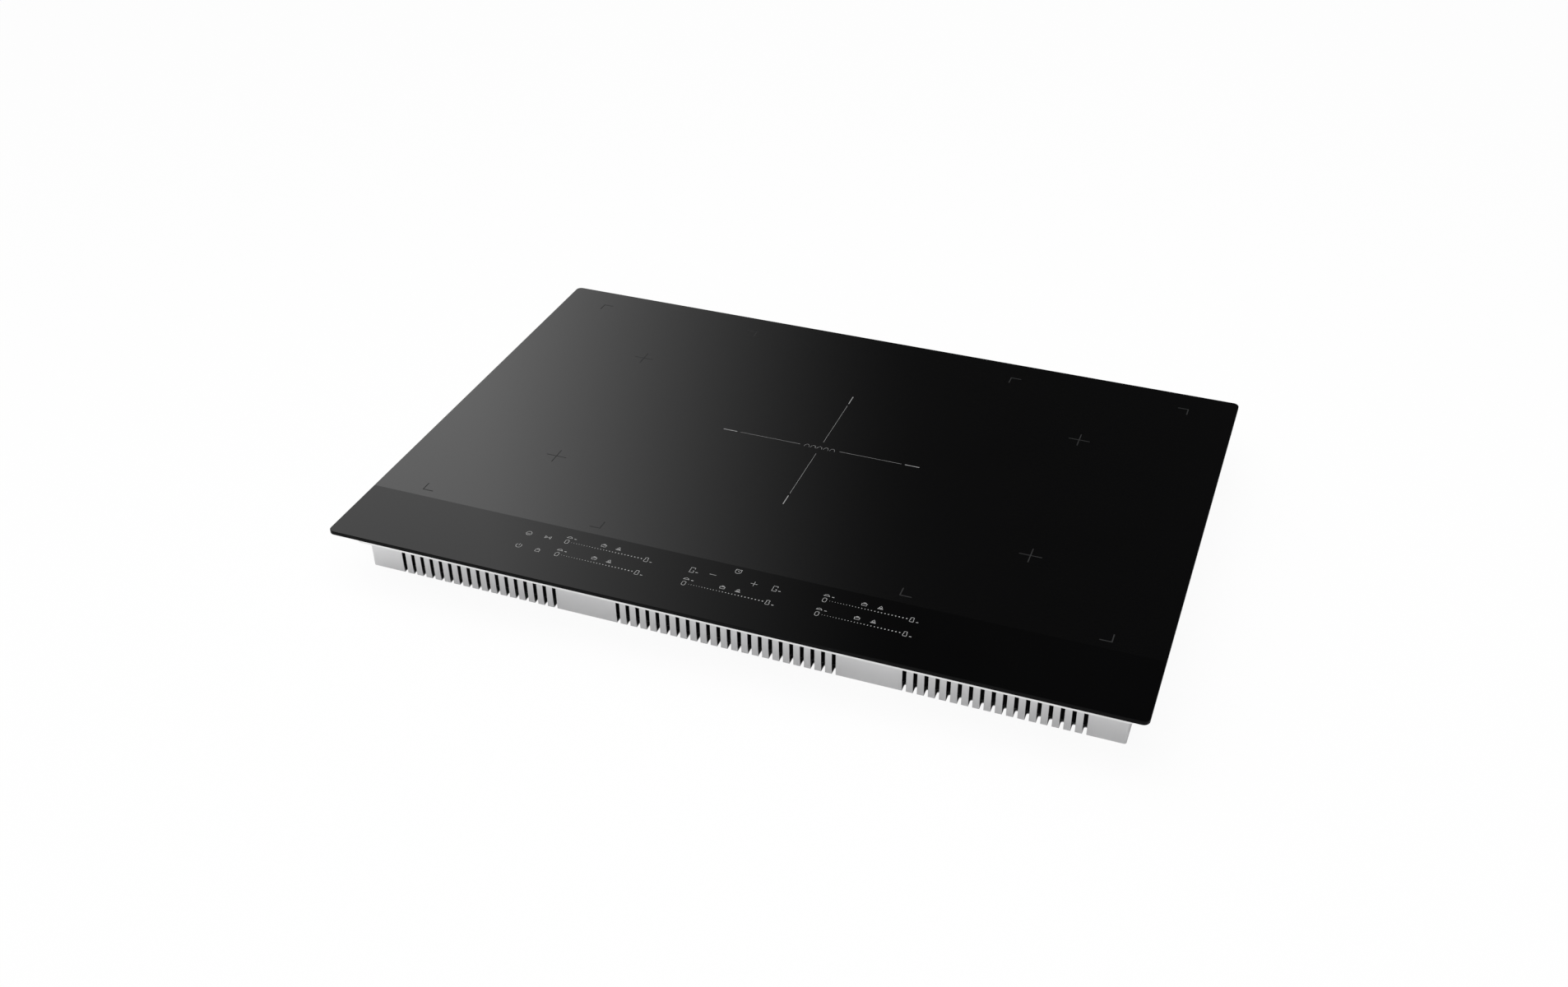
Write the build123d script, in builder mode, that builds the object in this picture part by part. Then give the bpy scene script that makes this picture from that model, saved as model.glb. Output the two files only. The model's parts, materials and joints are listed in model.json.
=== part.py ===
from build123d import *
from collections import namedtuple
from math import cos, radians, sqrt
import os

# Built-in electric induction cooktop.
# Millimetres. The origin is under the middle of the case, on the surface that the case stands on.
# +X is to the right, +Y to the back and +Z up. The touch controls are at the front.

os.makedirs("parts", exist_ok=True)

# Glass plate
GLASS_WIDTH = 770.0
GLASS_DEPTH = 520.0
GLASS_THICKNESS = 4.0
GLASS_CORNER = 6.0
GLASS_ARRIS = 0.4
CONTROL_BAND = 80.0

# Tray bonded under the glass
TRAY_SIDE_INSET = 14.0
TRAY_END_INSET = 21.2
TRAY_HEIGHT = 19.5
TRAY_SHEET = 1.0
TRAY_CORNER = 4.0
TRAY_LIP = 8.0
ADHESIVE_THICKNESS = 1.0
ADHESIVE_MARGIN = 1.0
SEAL_INSET = 5.0
SEAL_TRAY_GAP = 1.0
SEAL_THICKNESS = 2.5
LEAD_HOLE_RADIUS = 8.0

# Pan that closes the case below
PAN_SIDE_INSET = 5.0
PAN_END_INSET = 12.8
PAN_HEIGHT = 35.5
PAN_SHEET = 1.0
PAN_CORNER = 2.0
PAN_BEND = 1.2
FLANGE_SETBACK = 1.0
LINER_THICKNESS = 0.5
LINER_GAP = 2.0
BRACKET_HOLE_RADIUS = 1.7
BRACKET_HOLE_HEIGHT = 18.0
BRACKET_HOLE_SPACING = 300.0

# Comb slots in the pan's front wall
VENT_PITCH = 10.0
VENT_SLOT = 3.8
VENT_TOP = 24.3
VENT_UNDERCUT = 9.5
VENT_MIDDLE_SPAN = 214.0
VENT_PANEL = 61.0
VENT_END_PANEL = 34.0

# Screws that hold the pan to the tray
CASE_SCREW_RADIUS = 1.75
CASE_SCREW_LENGTH = 6.0
CASE_SCREW_HEAD_RADIUS = 3.4
CASE_SCREW_HEAD = 2.2
CASE_SCREW_INSET = 31.0
CASE_SCREW_REAR_X = 190.0
SCREW_CLEARANCE = 0.15

# Induction coils
COIL_FRONT_MARGIN = 14.5
COIL_REAR_MARGIN = 34.0
COIL_SIDE_MARGIN = 51.0
COIL_SPACING = 23.5
CENTRE_COIL_GAP = 48.0
MAT_THICKNESS = 1.4
MAT_MARGIN = 4.0
WIRE_DIAMETER = 3.2
WIRE_GAP = 0.6
WINDING_INNER = 26.0
GAP_STEPS = 36
WINDING_MARGIN = 2.0
CARRIER_PLATE = 2.0
CARRIER_RIM = 2.0
CARRIER_RIM_HEIGHT = 4.0
HUB_INNER = 9.0
HUB_WALL = 4.0
FERRITE_COUNT = 8
FERRITE_WIDTH = 14.0
FERRITE_THICKNESS = 4.5
FERRITE_INNER = 24.0
FERRITE_MARGIN = 8.0
SENSOR_TAIL_RADIUS = 4.0
SENSOR_TAIL = 3.0
SENSOR_CLEARANCE = 0.2
COIL_TRAVEL = 3.0
GUIDE_COUNT = 4
GUIDE_INSET = 30.0
GUIDE_POST_RADIUS = 3.0
GUIDE_CLEARANCE = 0.08
GUIDE_TUBE_WALL = 1.9
GUIDE_END_GAP = 0.6
GUIDE_FOOT_GAP = 2.0
SPRING_WIRE = 1.2
SPRING_TURNS = 4
SPRING_TUBE_GAP = 0.5
SPRING_SEAT = 0.02

# Blowers
LANE_SIDE_MARGIN = 151.0
BLOWER_REAR_GAP = 62.0
BLOWER_HEADROOM = 4.0
BLOWER_WALL = 2.0
IMPELLER_RADIUS = 36.0
IMPELLER_DISC = 1.5
IMPELLER_TOP_GAP = 1.5
IMPELLER_FLOOR_GAP = 3.0
IMPELLER_RING = 1.5
SCROLL_GAP = 6.0
OUTLET_WIDTH = 46.0
OUTLET_LENGTH = 62.0
BLADE_COUNT = 20
BLADE_CHORD = 9.0
BLADE_THICKNESS = 1.2
BLADE_ANGLE = 35.0
HUB_CUP_RADIUS = 17.0
HUB_CUP_WALL = 1.5
HUB_CUP_DEPTH = 14.0
SHAFT_RADIUS = 1.5
SHAFT_CLEARANCE = 0.05
SHAFT_END_GAP = 1.0
BEARING_RADIUS = 4.0
BEARING_FOOT_GAP = 1.5
STATOR_HEIGHT = 8.0
STATOR_GAP = 1.0
STATOR_SEAT = 0.05
INTAKE_RADIUS = 30.0
INTAKE_SLOT = 5.0
INTAKE_PITCH = 8.0

# Power boards
BOARD_THICKNESS = 1.6
BOARD_WIDTH = 200.0
BOARD_FRONT_GAP = 56.0
BOARD_BLOWER_GAP = 28.0
BOARD_HOLE_INSET = 8.0
BOARD_SCREW_RADIUS = 1.4
BOARD_SCREW_LENGTH = 5.0
BOARD_SCREW_HEAD_RADIUS = 3.0
BOARD_SCREW_HEAD = 2.0
STANDOFF_HEIGHT = 5.0
STANDOFF_RADIUS = 3.5
HEATSINK_WIDTH = 64.0
HEATSINK_BASE = 4.0
HEATSINK_SHIFT = 42.0
HEATSINK_MARGIN = 25.0
HEATSINK_HEADROOM = 5.4
FIN_THICKNESS = 1.6
FIN_PITCH = 6.0
TRANSISTOR_SIZE = (16.0, 21.0, 5.0)
TRANSISTOR_SPACING = (28.0, 60.0)
CAPACITOR_SIZE = (34.0, 20.0, 22.0)
CAPACITOR_SHIFT = 50.0
CAPACITOR_SPACING = 44.0
CAPACITOR_COUNT = 3
CAPACITOR_EDGE = 1.5

# Mains input
TERMINAL_WIDTH = 110.0
TERMINAL_DEPTH = 40.0
TERMINAL_HEADROOM = 5.5
TERMINAL_WALL = 2.0
TERMINAL_BLOWER_GAP = 10.0
TERMINAL_WALL_GAP = 0.2
GLAND_PANEL = 30.0
GLAND_BORE_RADIUS = 5.5
GLAND_BODY_RADIUS = 8.0
GLAND_FLANGE_RADIUS = 11.0
GLAND_FLANGE = 10.0
GLAND_TAIL = 8.0
GLAND_SEAT = 0.05
BLOCK_SIZE = (58.0, 18.0, 17.0)
BLOCK_GAP = 6.0
POLE_COUNT = 5
POLE_PITCH = 11.0
POLE_WIRE_RADIUS = 2.2
POLE_WIRE_DEPTH = 12.0
POLE_SCREW_RADIUS = 2.0
POLE_SCREW_DEPTH = 6.0
POLE_SCREW_HEAD = 1.0
POLE_SCREW_HEAD_RADIUS = 3.2
HINGE_PIN_RADIUS = 1.5
HINGE_PIN_SEAT = 0.02
HINGE_CLEARANCE = 0.05
HINGE_RISE = 0.5
HINGE_EAR = 3.0
KNUCKLE_RADIUS = 3.0
EAR_DROP = 5.0
COVER_THICKNESS = 2.0
COVER_GAP = 0.3
COVER_FOOT_GAP = 2.0
FILTER_BOARD_WIDTH = 140.0
FILTER_BOARD_DEPTH = 100.0
FILTER_BOARD_GAP = 16.0
FILTER_BOARD_X = -20.0
CHOKE_OUTER = 22.0
CHOKE_INNER = 11.0
CHOKE_HEIGHT = 20.0
CHOKE_EDGE = 3.0
CHOKE_SHIFT = 36.0
FILTER_CAPACITOR_SIZE = (30.0, 22.0, 18.0)
FILTER_CAPACITOR_SHIFT = 32.0
FILTER_CAPACITOR_SPACING = 36.0

# Touch controls
TOUCH_CENTRE_X = -17.5
TOUCH_WIDTH = 395.0
TOUCH_LIP_GAP = 1.0
TOUCH_WALL = 2.0
TOUCH_TOP_GAP = 0.5
TOUCH_BOARD_DROP = 6.0
TOUCH_BOARD_GAP = 0.5
TOUCH_POST_RADIUS = 3.0
TOUCH_POST_INSET = 8.0
TOUCH_POST_COUNT = 5
PAD_RADIUS = 4.0
KEY_ROW_REAR = 60.5
KEY_ROW_FRONT = 40.2
REAR_KEYS = (-205.5, -185.8, -38.3, -19.3, 20.0, 40.5)
FRONT_KEYS = (-205.5, -185.8)
REAR_SLIDERS = (-166.3, 86.8)
FRONT_SLIDERS = (-166.3, -39.8, 86.8)
SLIDER_LENGTH = 80.8
SLIDER_PADS = 5
CABLE_WIDTH = 22.0
CABLE_THICKNESS = 1.0
CABLE_SLOT_GAP = 1.0
CABLE_BEND = 6.0
CABLE_X = 150.0
CABLE_RUN = 12.0

# Places in plan
tray_width = GLASS_WIDTH - 2 * TRAY_SIDE_INSET
tray_depth = GLASS_DEPTH - 2 * TRAY_END_INSET
pan_width = tray_width - 2 * PAN_SIDE_INSET
pan_depth = tray_depth - 2 * PAN_END_INSET
flange_width = tray_width - 2 * FLANGE_SETBACK
flange_depth = tray_depth - 2 * FLANGE_SETBACK
band_rear = CONTROL_BAND - GLASS_DEPTH / 2
coil_room = GLASS_DEPTH - CONTROL_BAND - COIL_FRONT_MARGIN - COIL_REAR_MARGIN
coil_radius = (coil_room - COIL_SPACING) / 4
side_coil_x = GLASS_WIDTH / 2 - COIL_SIDE_MARGIN - coil_radius
rear_coil_y = GLASS_DEPTH / 2 - COIL_REAR_MARGIN - coil_radius
front_coil_y = band_rear + COIL_FRONT_MARGIN + coil_radius
centre_coil_radius = side_coil_x - coil_radius - CENTRE_COIL_GAP

Zone = namedtuple("Zone", "name x y radius")
ZONES = [
    Zone("rear_left", -side_coil_x, rear_coil_y, coil_radius),
    Zone("front_left", -side_coil_x, front_coil_y, coil_radius),
    Zone("centre", 0.0, (rear_coil_y + front_coil_y) / 2, centre_coil_radius),
    Zone("rear_right", side_coil_x, rear_coil_y, coil_radius),
    Zone("front_right", side_coil_x, front_coil_y, coil_radius),
]
zone_centres = [(zone.x, zone.y) for zone in ZONES]

# Guide posts stand in the gaps between a coil's ferrite bars
guide_start = 180 / FERRITE_COUNT

# Levels, from the bottom up
liner_top = PAN_SHEET + LINER_THICKNESS
board_bottom = liner_top + STANDOFF_HEIGHT
board_top = board_bottom + BOARD_THICKNESS
flange_bottom = PAN_HEIGHT - PAN_SHEET
tray_floor = PAN_HEIGHT + TRAY_SHEET
tray_top = PAN_HEIGHT + TRAY_HEIGHT
glass_bottom = tray_top + ADHESIVE_THICKNESS
mat_bottom = glass_bottom - MAT_THICKNESS
carrier_top = mat_bottom - CARRIER_RIM_HEIGHT
carrier_bottom = carrier_top - CARRIER_PLATE

# Front wall: the slots fill three stretches of it
vent_side_span = pan_width / 2 - VENT_END_PANEL - VENT_PANEL - VENT_MIDDLE_SPAN / 2
vent_side_x = VENT_MIDDLE_SPAN / 2 + VENT_PANEL + vent_side_span / 2


def slot_row(middle, span):
    """Return the slot centres that fill a stretch of the front wall."""
    count = int((span - VENT_SLOT) / VENT_PITCH) + 1
    return [middle + (i - (count - 1) / 2) * VENT_PITCH for i in range(count)]


vent_places = slot_row(-vent_side_x, vent_side_span)
vent_places += slot_row(0.0, VENT_MIDDLE_SPAN)
vent_places += slot_row(vent_side_x, vent_side_span)

# Screws stand in the middle of the flange, four at the corners and two more along the back
case_screw_x = tray_width / 2 - CASE_SCREW_INSET
case_screw_y = (pan_depth + flange_depth) / 4
case_screw_places = [(x, y) for x in (-case_screw_x, case_screw_x) for y in (-case_screw_y, case_screw_y)]
case_screw_places += [(x, case_screw_y) for x in (-CASE_SCREW_REAR_X, CASE_SCREW_REAR_X)]

# Blower lanes, left and right, with the boards in front of them
LANES = (("left", -1), ("right", 1))
lane_offset = pan_width / 2 - LANE_SIDE_MARGIN
scroll_inner = IMPELLER_RADIUS + SCROLL_GAP
scroll_outer = scroll_inner + BLOWER_WALL
blower_y = pan_depth / 2 - BLOWER_REAR_GAP - scroll_outer
board_front = BOARD_FRONT_GAP - pan_depth / 2
board_rear = blower_y - OUTLET_LENGTH - BOARD_BLOWER_GAP
board_depth = board_rear - board_front
board_y = (board_front + board_rear) / 2

# Terminal box at the back, beside the right blower
rear_wall = pan_depth / 2
terminal_right = lane_offset - scroll_outer - TERMINAL_BLOWER_GAP
terminal_left = terminal_right - TERMINAL_WIDTH
terminal_x = (terminal_left + terminal_right) / 2
terminal_front = rear_wall - TERMINAL_DEPTH
terminal_top = PAN_HEIGHT - PAN_SHEET - TERMINAL_HEADROOM
terminal_height = terminal_top - PAN_SHEET
mouth_left = terminal_left + TERMINAL_WALL
mouth_right = terminal_right - GLAND_PANEL
gland_x = terminal_right - GLAND_PANEL / 2
gland_z = PAN_SHEET + terminal_height / 2
hinge_y = rear_wall + COVER_GAP + KNUCKLE_RADIUS
hinge_z = terminal_top + HINGE_RISE

filter_y = terminal_front - FILTER_BOARD_GAP - FILTER_BOARD_DEPTH / 2

# Flat cable from the touch board down to the right power board
touch_front = TRAY_LIP + TOUCH_LIP_GAP - tray_depth / 2
touch_depth = band_rear - touch_front
touch_y = (band_rear + touch_front) / 2
touch_board_bottom = glass_bottom - TOUCH_BOARD_DROP
touch_board_top = touch_board_bottom + BOARD_THICKNESS
cable_y = board_front - CABLE_BEND - 2 * CABLE_THICKNESS
cable_slot = (CABLE_WIDTH + 2 * CABLE_SLOT_GAP, CABLE_THICKNESS + 2 * CABLE_SLOT_GAP)


with BuildPart() as glass_top:
    with BuildSketch(Plane.XY.offset(glass_bottom)):
        RectangleRounded(GLASS_WIDTH, GLASS_DEPTH, GLASS_CORNER)
    extrude(amount=GLASS_THICKNESS)
    faces_by_height = glass_top.faces().filter_by(Axis.Z).sort_by(Axis.Z)
    chamfer(faces_by_height[0].edges() + faces_by_height[-1].edges(), GLASS_ARRIS)
glass_top.part.label = "glass_top"
export_step(glass_top.part, "parts/glass_top.step")

# Foam strip that closes the joint between the glass rim and the worktop
with BuildPart() as worktop_seal:
    with BuildSketch(Plane.XY.offset(glass_bottom)):
        RectangleRounded(GLASS_WIDTH - 2 * SEAL_INSET, GLASS_DEPTH - 2 * SEAL_INSET, GLASS_CORNER)
        RectangleRounded(
            tray_width + 2 * SEAL_TRAY_GAP, tray_depth + 2 * SEAL_TRAY_GAP, TRAY_CORNER, mode=Mode.SUBTRACT
        )
    extrude(amount=-SEAL_THICKNESS)
worktop_seal.part.label = "worktop_seal"
export_step(worktop_seal.part, "parts/worktop_seal.step")

# Silicone bead between the tray's lip and the glass
with BuildPart() as glass_adhesive:
    with BuildSketch(Plane.XY.offset(tray_top)):
        RectangleRounded(tray_width - 2 * ADHESIVE_MARGIN, tray_depth - 2 * ADHESIVE_MARGIN, TRAY_CORNER)
        RectangleRounded(
            tray_width - 2 * (TRAY_LIP - ADHESIVE_MARGIN),
            tray_depth - 2 * (TRAY_LIP - ADHESIVE_MARGIN),
            TRAY_CORNER,
            mode=Mode.SUBTRACT,
        )
    extrude(amount=ADHESIVE_THICKNESS)
glass_adhesive.part.label = "glass_adhesive"
export_step(glass_adhesive.part, "parts/glass_adhesive.step")

# Heat-insulating mat under the cooking zones
with BuildPart() as insulation_mat:
    mat_front = band_rear + MAT_MARGIN
    mat_rear = tray_depth / 2 - TRAY_LIP - MAT_MARGIN
    with BuildSketch(Plane((0, (mat_front + mat_rear) / 2, mat_bottom))):
        Rectangle(tray_width - 2 * (TRAY_LIP + MAT_MARGIN), mat_rear - mat_front)
    extrude(amount=MAT_THICKNESS)
insulation_mat.part.label = "insulation_mat"
export_step(insulation_mat.part, "parts/insulation_mat.step")

# Sheet tray with an inward lip for the adhesive and posts that guide the coils
with BuildPart() as coil_tray:
    with BuildSketch(Plane.XY.offset(PAN_HEIGHT)):
        RectangleRounded(tray_width, tray_depth, TRAY_CORNER)
    extrude(amount=TRAY_HEIGHT)
    with BuildSketch(Plane.XY.offset(tray_floor)):
        RectangleRounded(tray_width - 2 * TRAY_SHEET, tray_depth - 2 * TRAY_SHEET, TRAY_CORNER - TRAY_SHEET)
    extrude(amount=TRAY_HEIGHT - 2 * TRAY_SHEET, mode=Mode.SUBTRACT)
    with BuildSketch(Plane.XY.offset(tray_top)):
        RectangleRounded(tray_width - 2 * TRAY_LIP, tray_depth - 2 * TRAY_LIP, TRAY_CORNER)
    extrude(amount=-TRAY_SHEET, mode=Mode.SUBTRACT)
    with BuildSketch(Plane.XY.offset(PAN_HEIGHT)):
        with Locations(*zone_centres):
            Circle(LEAD_HOLE_RADIUS)
        with Locations(*case_screw_places):
            Circle(CASE_SCREW_RADIUS + SCREW_CLEARANCE)
        with Locations((CABLE_X, cable_y)):
            Rectangle(*cable_slot)
    extrude(amount=TRAY_SHEET, mode=Mode.SUBTRACT)
    for zone in ZONES:
        with BuildSketch(Plane((zone.x, zone.y, tray_floor))):
            with PolarLocations(zone.radius - GUIDE_INSET, GUIDE_COUNT, guide_start):
                Circle(GUIDE_POST_RADIUS)
        extrude(amount=carrier_bottom - COIL_TRAVEL - GUIDE_END_GAP - tray_floor)
coil_tray.part.label = "coil_tray"
export_step(coil_tray.part, "parts/coil_tray.step")

# Folded sheet pan: floor, four walls and a flange turned outwards under the tray
with BuildPart() as base_pan:
    with BuildSketch():
        RectangleRounded(pan_width, pan_depth, PAN_CORNER)
    extrude(amount=PAN_HEIGHT)
    fillet(base_pan.faces().sort_by(Axis.Z)[0].edges(), PAN_BEND)
    with BuildSketch(Plane.XY.offset(flange_bottom)):
        RectangleRounded(flange_width, flange_depth, TRAY_CORNER)
    extrude(amount=PAN_SHEET)
    with BuildSketch(Plane.XY.offset(PAN_SHEET)):
        RectangleRounded(pan_width - 2 * PAN_SHEET, pan_depth - 2 * PAN_SHEET, PAN_CORNER - PAN_SHEET / 2)
    extrude(amount=PAN_HEIGHT - PAN_SHEET, mode=Mode.SUBTRACT)
    with BuildSketch(Plane.XY.offset(flange_bottom)):
        with Locations(*case_screw_places):
            Circle(CASE_SCREW_RADIUS + SCREW_CLEARANCE)
    extrude(amount=PAN_SHEET, mode=Mode.SUBTRACT)
    with BuildSketch(Plane.XZ.offset(pan_depth / 2)):
        with Locations(*[(x, VENT_TOP / 2) for x in vent_places]):
            Rectangle(VENT_SLOT, VENT_TOP)
    extrude(amount=-PAN_SHEET, mode=Mode.SUBTRACT)
    with BuildSketch():
        with Locations(*[(x, -pan_depth / 2) for x in vent_places]):
            SlotOverall(2 * VENT_UNDERCUT, VENT_SLOT, rotation=90)
        intake_side = int((INTAKE_RADIUS - INTAKE_SLOT / 2) / INTAKE_PITCH)
        for lane, side in LANES:
            for step in range(-intake_side, intake_side + 1):
                across = step * INTAKE_PITCH
                with Locations((side * lane_offset + across, blower_y)):
                    SlotOverall(2 * sqrt(INTAKE_RADIUS**2 - across**2), INTAKE_SLOT, rotation=90)
    extrude(amount=PAN_SHEET, mode=Mode.SUBTRACT)
    with BuildSketch(Plane.XZ.offset(-rear_wall)):
        with Locations((terminal_x, PAN_SHEET)):
            Rectangle(
                TERMINAL_WIDTH + 2 * TERMINAL_WALL_GAP,
                terminal_height + TERMINAL_WALL_GAP,
                align=(Align.CENTER, Align.MIN),
            )
    extrude(amount=PAN_SHEET, mode=Mode.SUBTRACT)
    with BuildSketch(Plane.YZ):
        with Locations((0, BRACKET_HOLE_HEIGHT)):
            with GridLocations(BRACKET_HOLE_SPACING, 0, 2, 1):
                Circle(BRACKET_HOLE_RADIUS)
    extrude(amount=pan_width / 2, both=True, mode=Mode.SUBTRACT)
base_pan.part.label = "base_pan"
export_step(base_pan.part, "parts/base_pan.step")

# Screws from below, through the flange and into the tray
with BuildPart() as case_screws:
    with BuildSketch(Plane.XY.offset(flange_bottom)):
        with Locations(*case_screw_places):
            Circle(CASE_SCREW_HEAD_RADIUS)
    extrude(amount=-CASE_SCREW_HEAD)
    fillet(case_screws.faces().group_by(Axis.Z)[0].edges(), CASE_SCREW_HEAD / 2)
    with BuildSketch(Plane.XY.offset(flange_bottom)):
        with Locations(*case_screw_places):
            Circle(CASE_SCREW_RADIUS)
    extrude(amount=CASE_SCREW_LENGTH)
case_screws.part.label = "case_screws"
export_step(case_screws.part, "parts/case_screws.step")

# Black plastic sheet that keeps the boards off the pan
with BuildPart() as insulating_liner:
    liner_front = VENT_UNDERCUT + LINER_GAP - pan_depth / 2
    liner_rear = terminal_front - LINER_GAP
    with BuildSketch(Plane((0, (liner_front + liner_rear) / 2, PAN_SHEET))):
        Rectangle(pan_width - 2 * (PAN_SHEET + LINER_GAP), liner_rear - liner_front)
    extrude(amount=LINER_THICKNESS)
    with BuildSketch(Plane.XY.offset(PAN_SHEET)):
        with Locations(*[(side * lane_offset, blower_y) for lane, side in LANES]):
            Circle(INTAKE_RADIUS)
    extrude(amount=LINER_THICKNESS, mode=Mode.SUBTRACT)
insulating_liner.part.label = "insulating_liner"
export_step(insulating_liner.part, "parts/insulating_liner.step")


def spiral(turns, inner, pitch):
    """Draw a flat spiral of half circles in the open line, from its inner end outwards."""
    for half in range(2 * turns):
        CenterArc((half % 2 * pitch / 2, 0), inner + half * pitch / 2, half % 2 * 180, 180)


def least_gap(wire, turns):
    """Return the least clear distance between one turn of a winding and the next, on points."""
    steps = GAP_STEPS * turns
    points = [wire @ (i / steps) for i in range(steps + 1)]
    nearest = min(
        (points[i] - points[j]).length
        for i in range(steps)
        for j in range(i + GAP_STEPS // 3, min(i + 2 * GAP_STEPS, steps))
    )
    return nearest - WIRE_DIAMETER


# Coils: each rides on springs, guided by the tray's posts, and is pressed against the mat
for zone in ZONES:
    winding_outer = zone.radius - CARRIER_RIM - WINDING_MARGIN - WIRE_DIAMETER / 2
    turns = int((winding_outer - WINDING_INNER) / (WIRE_DIAMETER + WIRE_GAP))
    with BuildPart() as winding:
        with BuildLine(Plane((zone.x, zone.y, carrier_top + WIRE_DIAMETER / 2))) as turns_path:
            spiral(turns, WINDING_INNER, WIRE_DIAMETER + WIRE_GAP)
        spiral_wire = turns_path.wire()
        with BuildSketch(Plane(spiral_wire @ 0, z_dir=spiral_wire % 0)):
            Circle(WIRE_DIAMETER / 2)
        sweep()
    print(f"{zone.name} winding: {turns} turns, least gap {least_gap(spiral_wire, turns):.2f} mm")
    winding.part.label = f"{zone.name}_winding"
    export_step(winding.part, f"parts/{zone.name}_winding.step")

    guide_circle = zone.radius - GUIDE_INSET
    tube_inner = GUIDE_POST_RADIUS + GUIDE_CLEARANCE
    tube_outer = tube_inner + GUIDE_TUBE_WALL
    tube_length = carrier_bottom - tray_floor - COIL_TRAVEL - GUIDE_FOOT_GAP
    with BuildPart() as carrier:
        with BuildSketch(Plane((zone.x, zone.y, carrier_bottom))):
            Circle(zone.radius)
            Circle(SENSOR_TAIL_RADIUS + SENSOR_CLEARANCE, mode=Mode.SUBTRACT)
        extrude(amount=CARRIER_PLATE)
        with BuildSketch(Plane((zone.x, zone.y, carrier_top))):
            Circle(zone.radius)
            Circle(zone.radius - CARRIER_RIM, mode=Mode.SUBTRACT)
            Circle(HUB_INNER + HUB_WALL)
            Circle(HUB_INNER, mode=Mode.SUBTRACT)
        extrude(amount=CARRIER_RIM_HEIGHT)
        with BuildSketch(Plane((zone.x, zone.y, carrier_bottom))):
            with PolarLocations(guide_circle, GUIDE_COUNT, guide_start):
                Circle(tube_outer)
                Circle(tube_inner, mode=Mode.SUBTRACT)
        extrude(amount=-tube_length)
    carrier.part.label = f"{zone.name}_carrier"
    export_step(carrier.part, f"parts/{zone.name}_carrier.step")

    ferrite_length = zone.radius - FERRITE_MARGIN - FERRITE_INNER
    with BuildPart() as ferrites:
        with BuildSketch(Plane((zone.x, zone.y, carrier_bottom))):
            with PolarLocations(FERRITE_INNER, FERRITE_COUNT):
                Rectangle(ferrite_length, FERRITE_WIDTH, align=(Align.MIN, Align.CENTER))
        extrude(amount=-FERRITE_THICKNESS)
    ferrites.part.label = f"{zone.name}_ferrites"
    export_step(ferrites.part, f"parts/{zone.name}_ferrites.step")

    with BuildPart() as sensor:
        with BuildSketch(Plane((zone.x, zone.y, carrier_top))):
            Circle(HUB_INNER - SENSOR_CLEARANCE)
        extrude(amount=CARRIER_RIM_HEIGHT)
        with BuildSketch(Plane((zone.x, zone.y, carrier_top))):
            Circle(SENSOR_TAIL_RADIUS)
        extrude(amount=-CARRIER_PLATE - SENSOR_TAIL)
    sensor.part.label = f"{zone.name}_sensor"
    export_step(sensor.part, f"parts/{zone.name}_sensor.step")

    spring_radius = tube_outer + SPRING_TUBE_GAP + SPRING_WIRE / 2
    spring_rise = carrier_bottom - tray_floor - SPRING_WIRE - 2 * SPRING_SEAT
    with BuildPart() as springs:
        with BuildLine() as coil_path:
            Helix(spring_rise / SPRING_TURNS, spring_rise, spring_radius)
        helix_wire = coil_path.wire()
        with BuildSketch(Plane(helix_wire @ 0, z_dir=helix_wire % 0)):
            Circle(SPRING_WIRE / 2)
        one_spring = sweep(is_frenet=True, mode=Mode.PRIVATE)
        with Locations((zone.x, zone.y, tray_floor + SPRING_SEAT + SPRING_WIRE / 2)):
            with PolarLocations(guide_circle, GUIDE_COUNT, guide_start):
                add(one_spring)
    springs.part.label = f"{zone.name}_springs"
    export_step(springs.part, f"parts/{zone.name}_springs.step")

# Blowers: the housing stands over the intake slots and its outlet faces the board in front
blower_top = PAN_HEIGHT - BLOWER_HEADROOM
blower_roof = blower_top - BLOWER_WALL
disc_top = blower_roof - IMPELLER_TOP_GAP
disc_bottom = disc_top - IMPELLER_DISC
blade_bottom = liner_top + IMPELLER_FLOOR_GAP
cup_floor = disc_top - HUB_CUP_DEPTH + HUB_CUP_WALL
bearing_foot = cup_floor + BEARING_FOOT_GAP
shaft_top = disc_top - SHAFT_END_GAP
cup_inner = HUB_CUP_RADIUS - HUB_CUP_WALL
blade_circle = IMPELLER_RADIUS - BLADE_CHORD * cos(radians(BLADE_ANGLE)) / 2 - BLADE_THICKNESS / 2
outlet_x = OUTLET_WIDTH / 2 - scroll_inner

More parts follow.
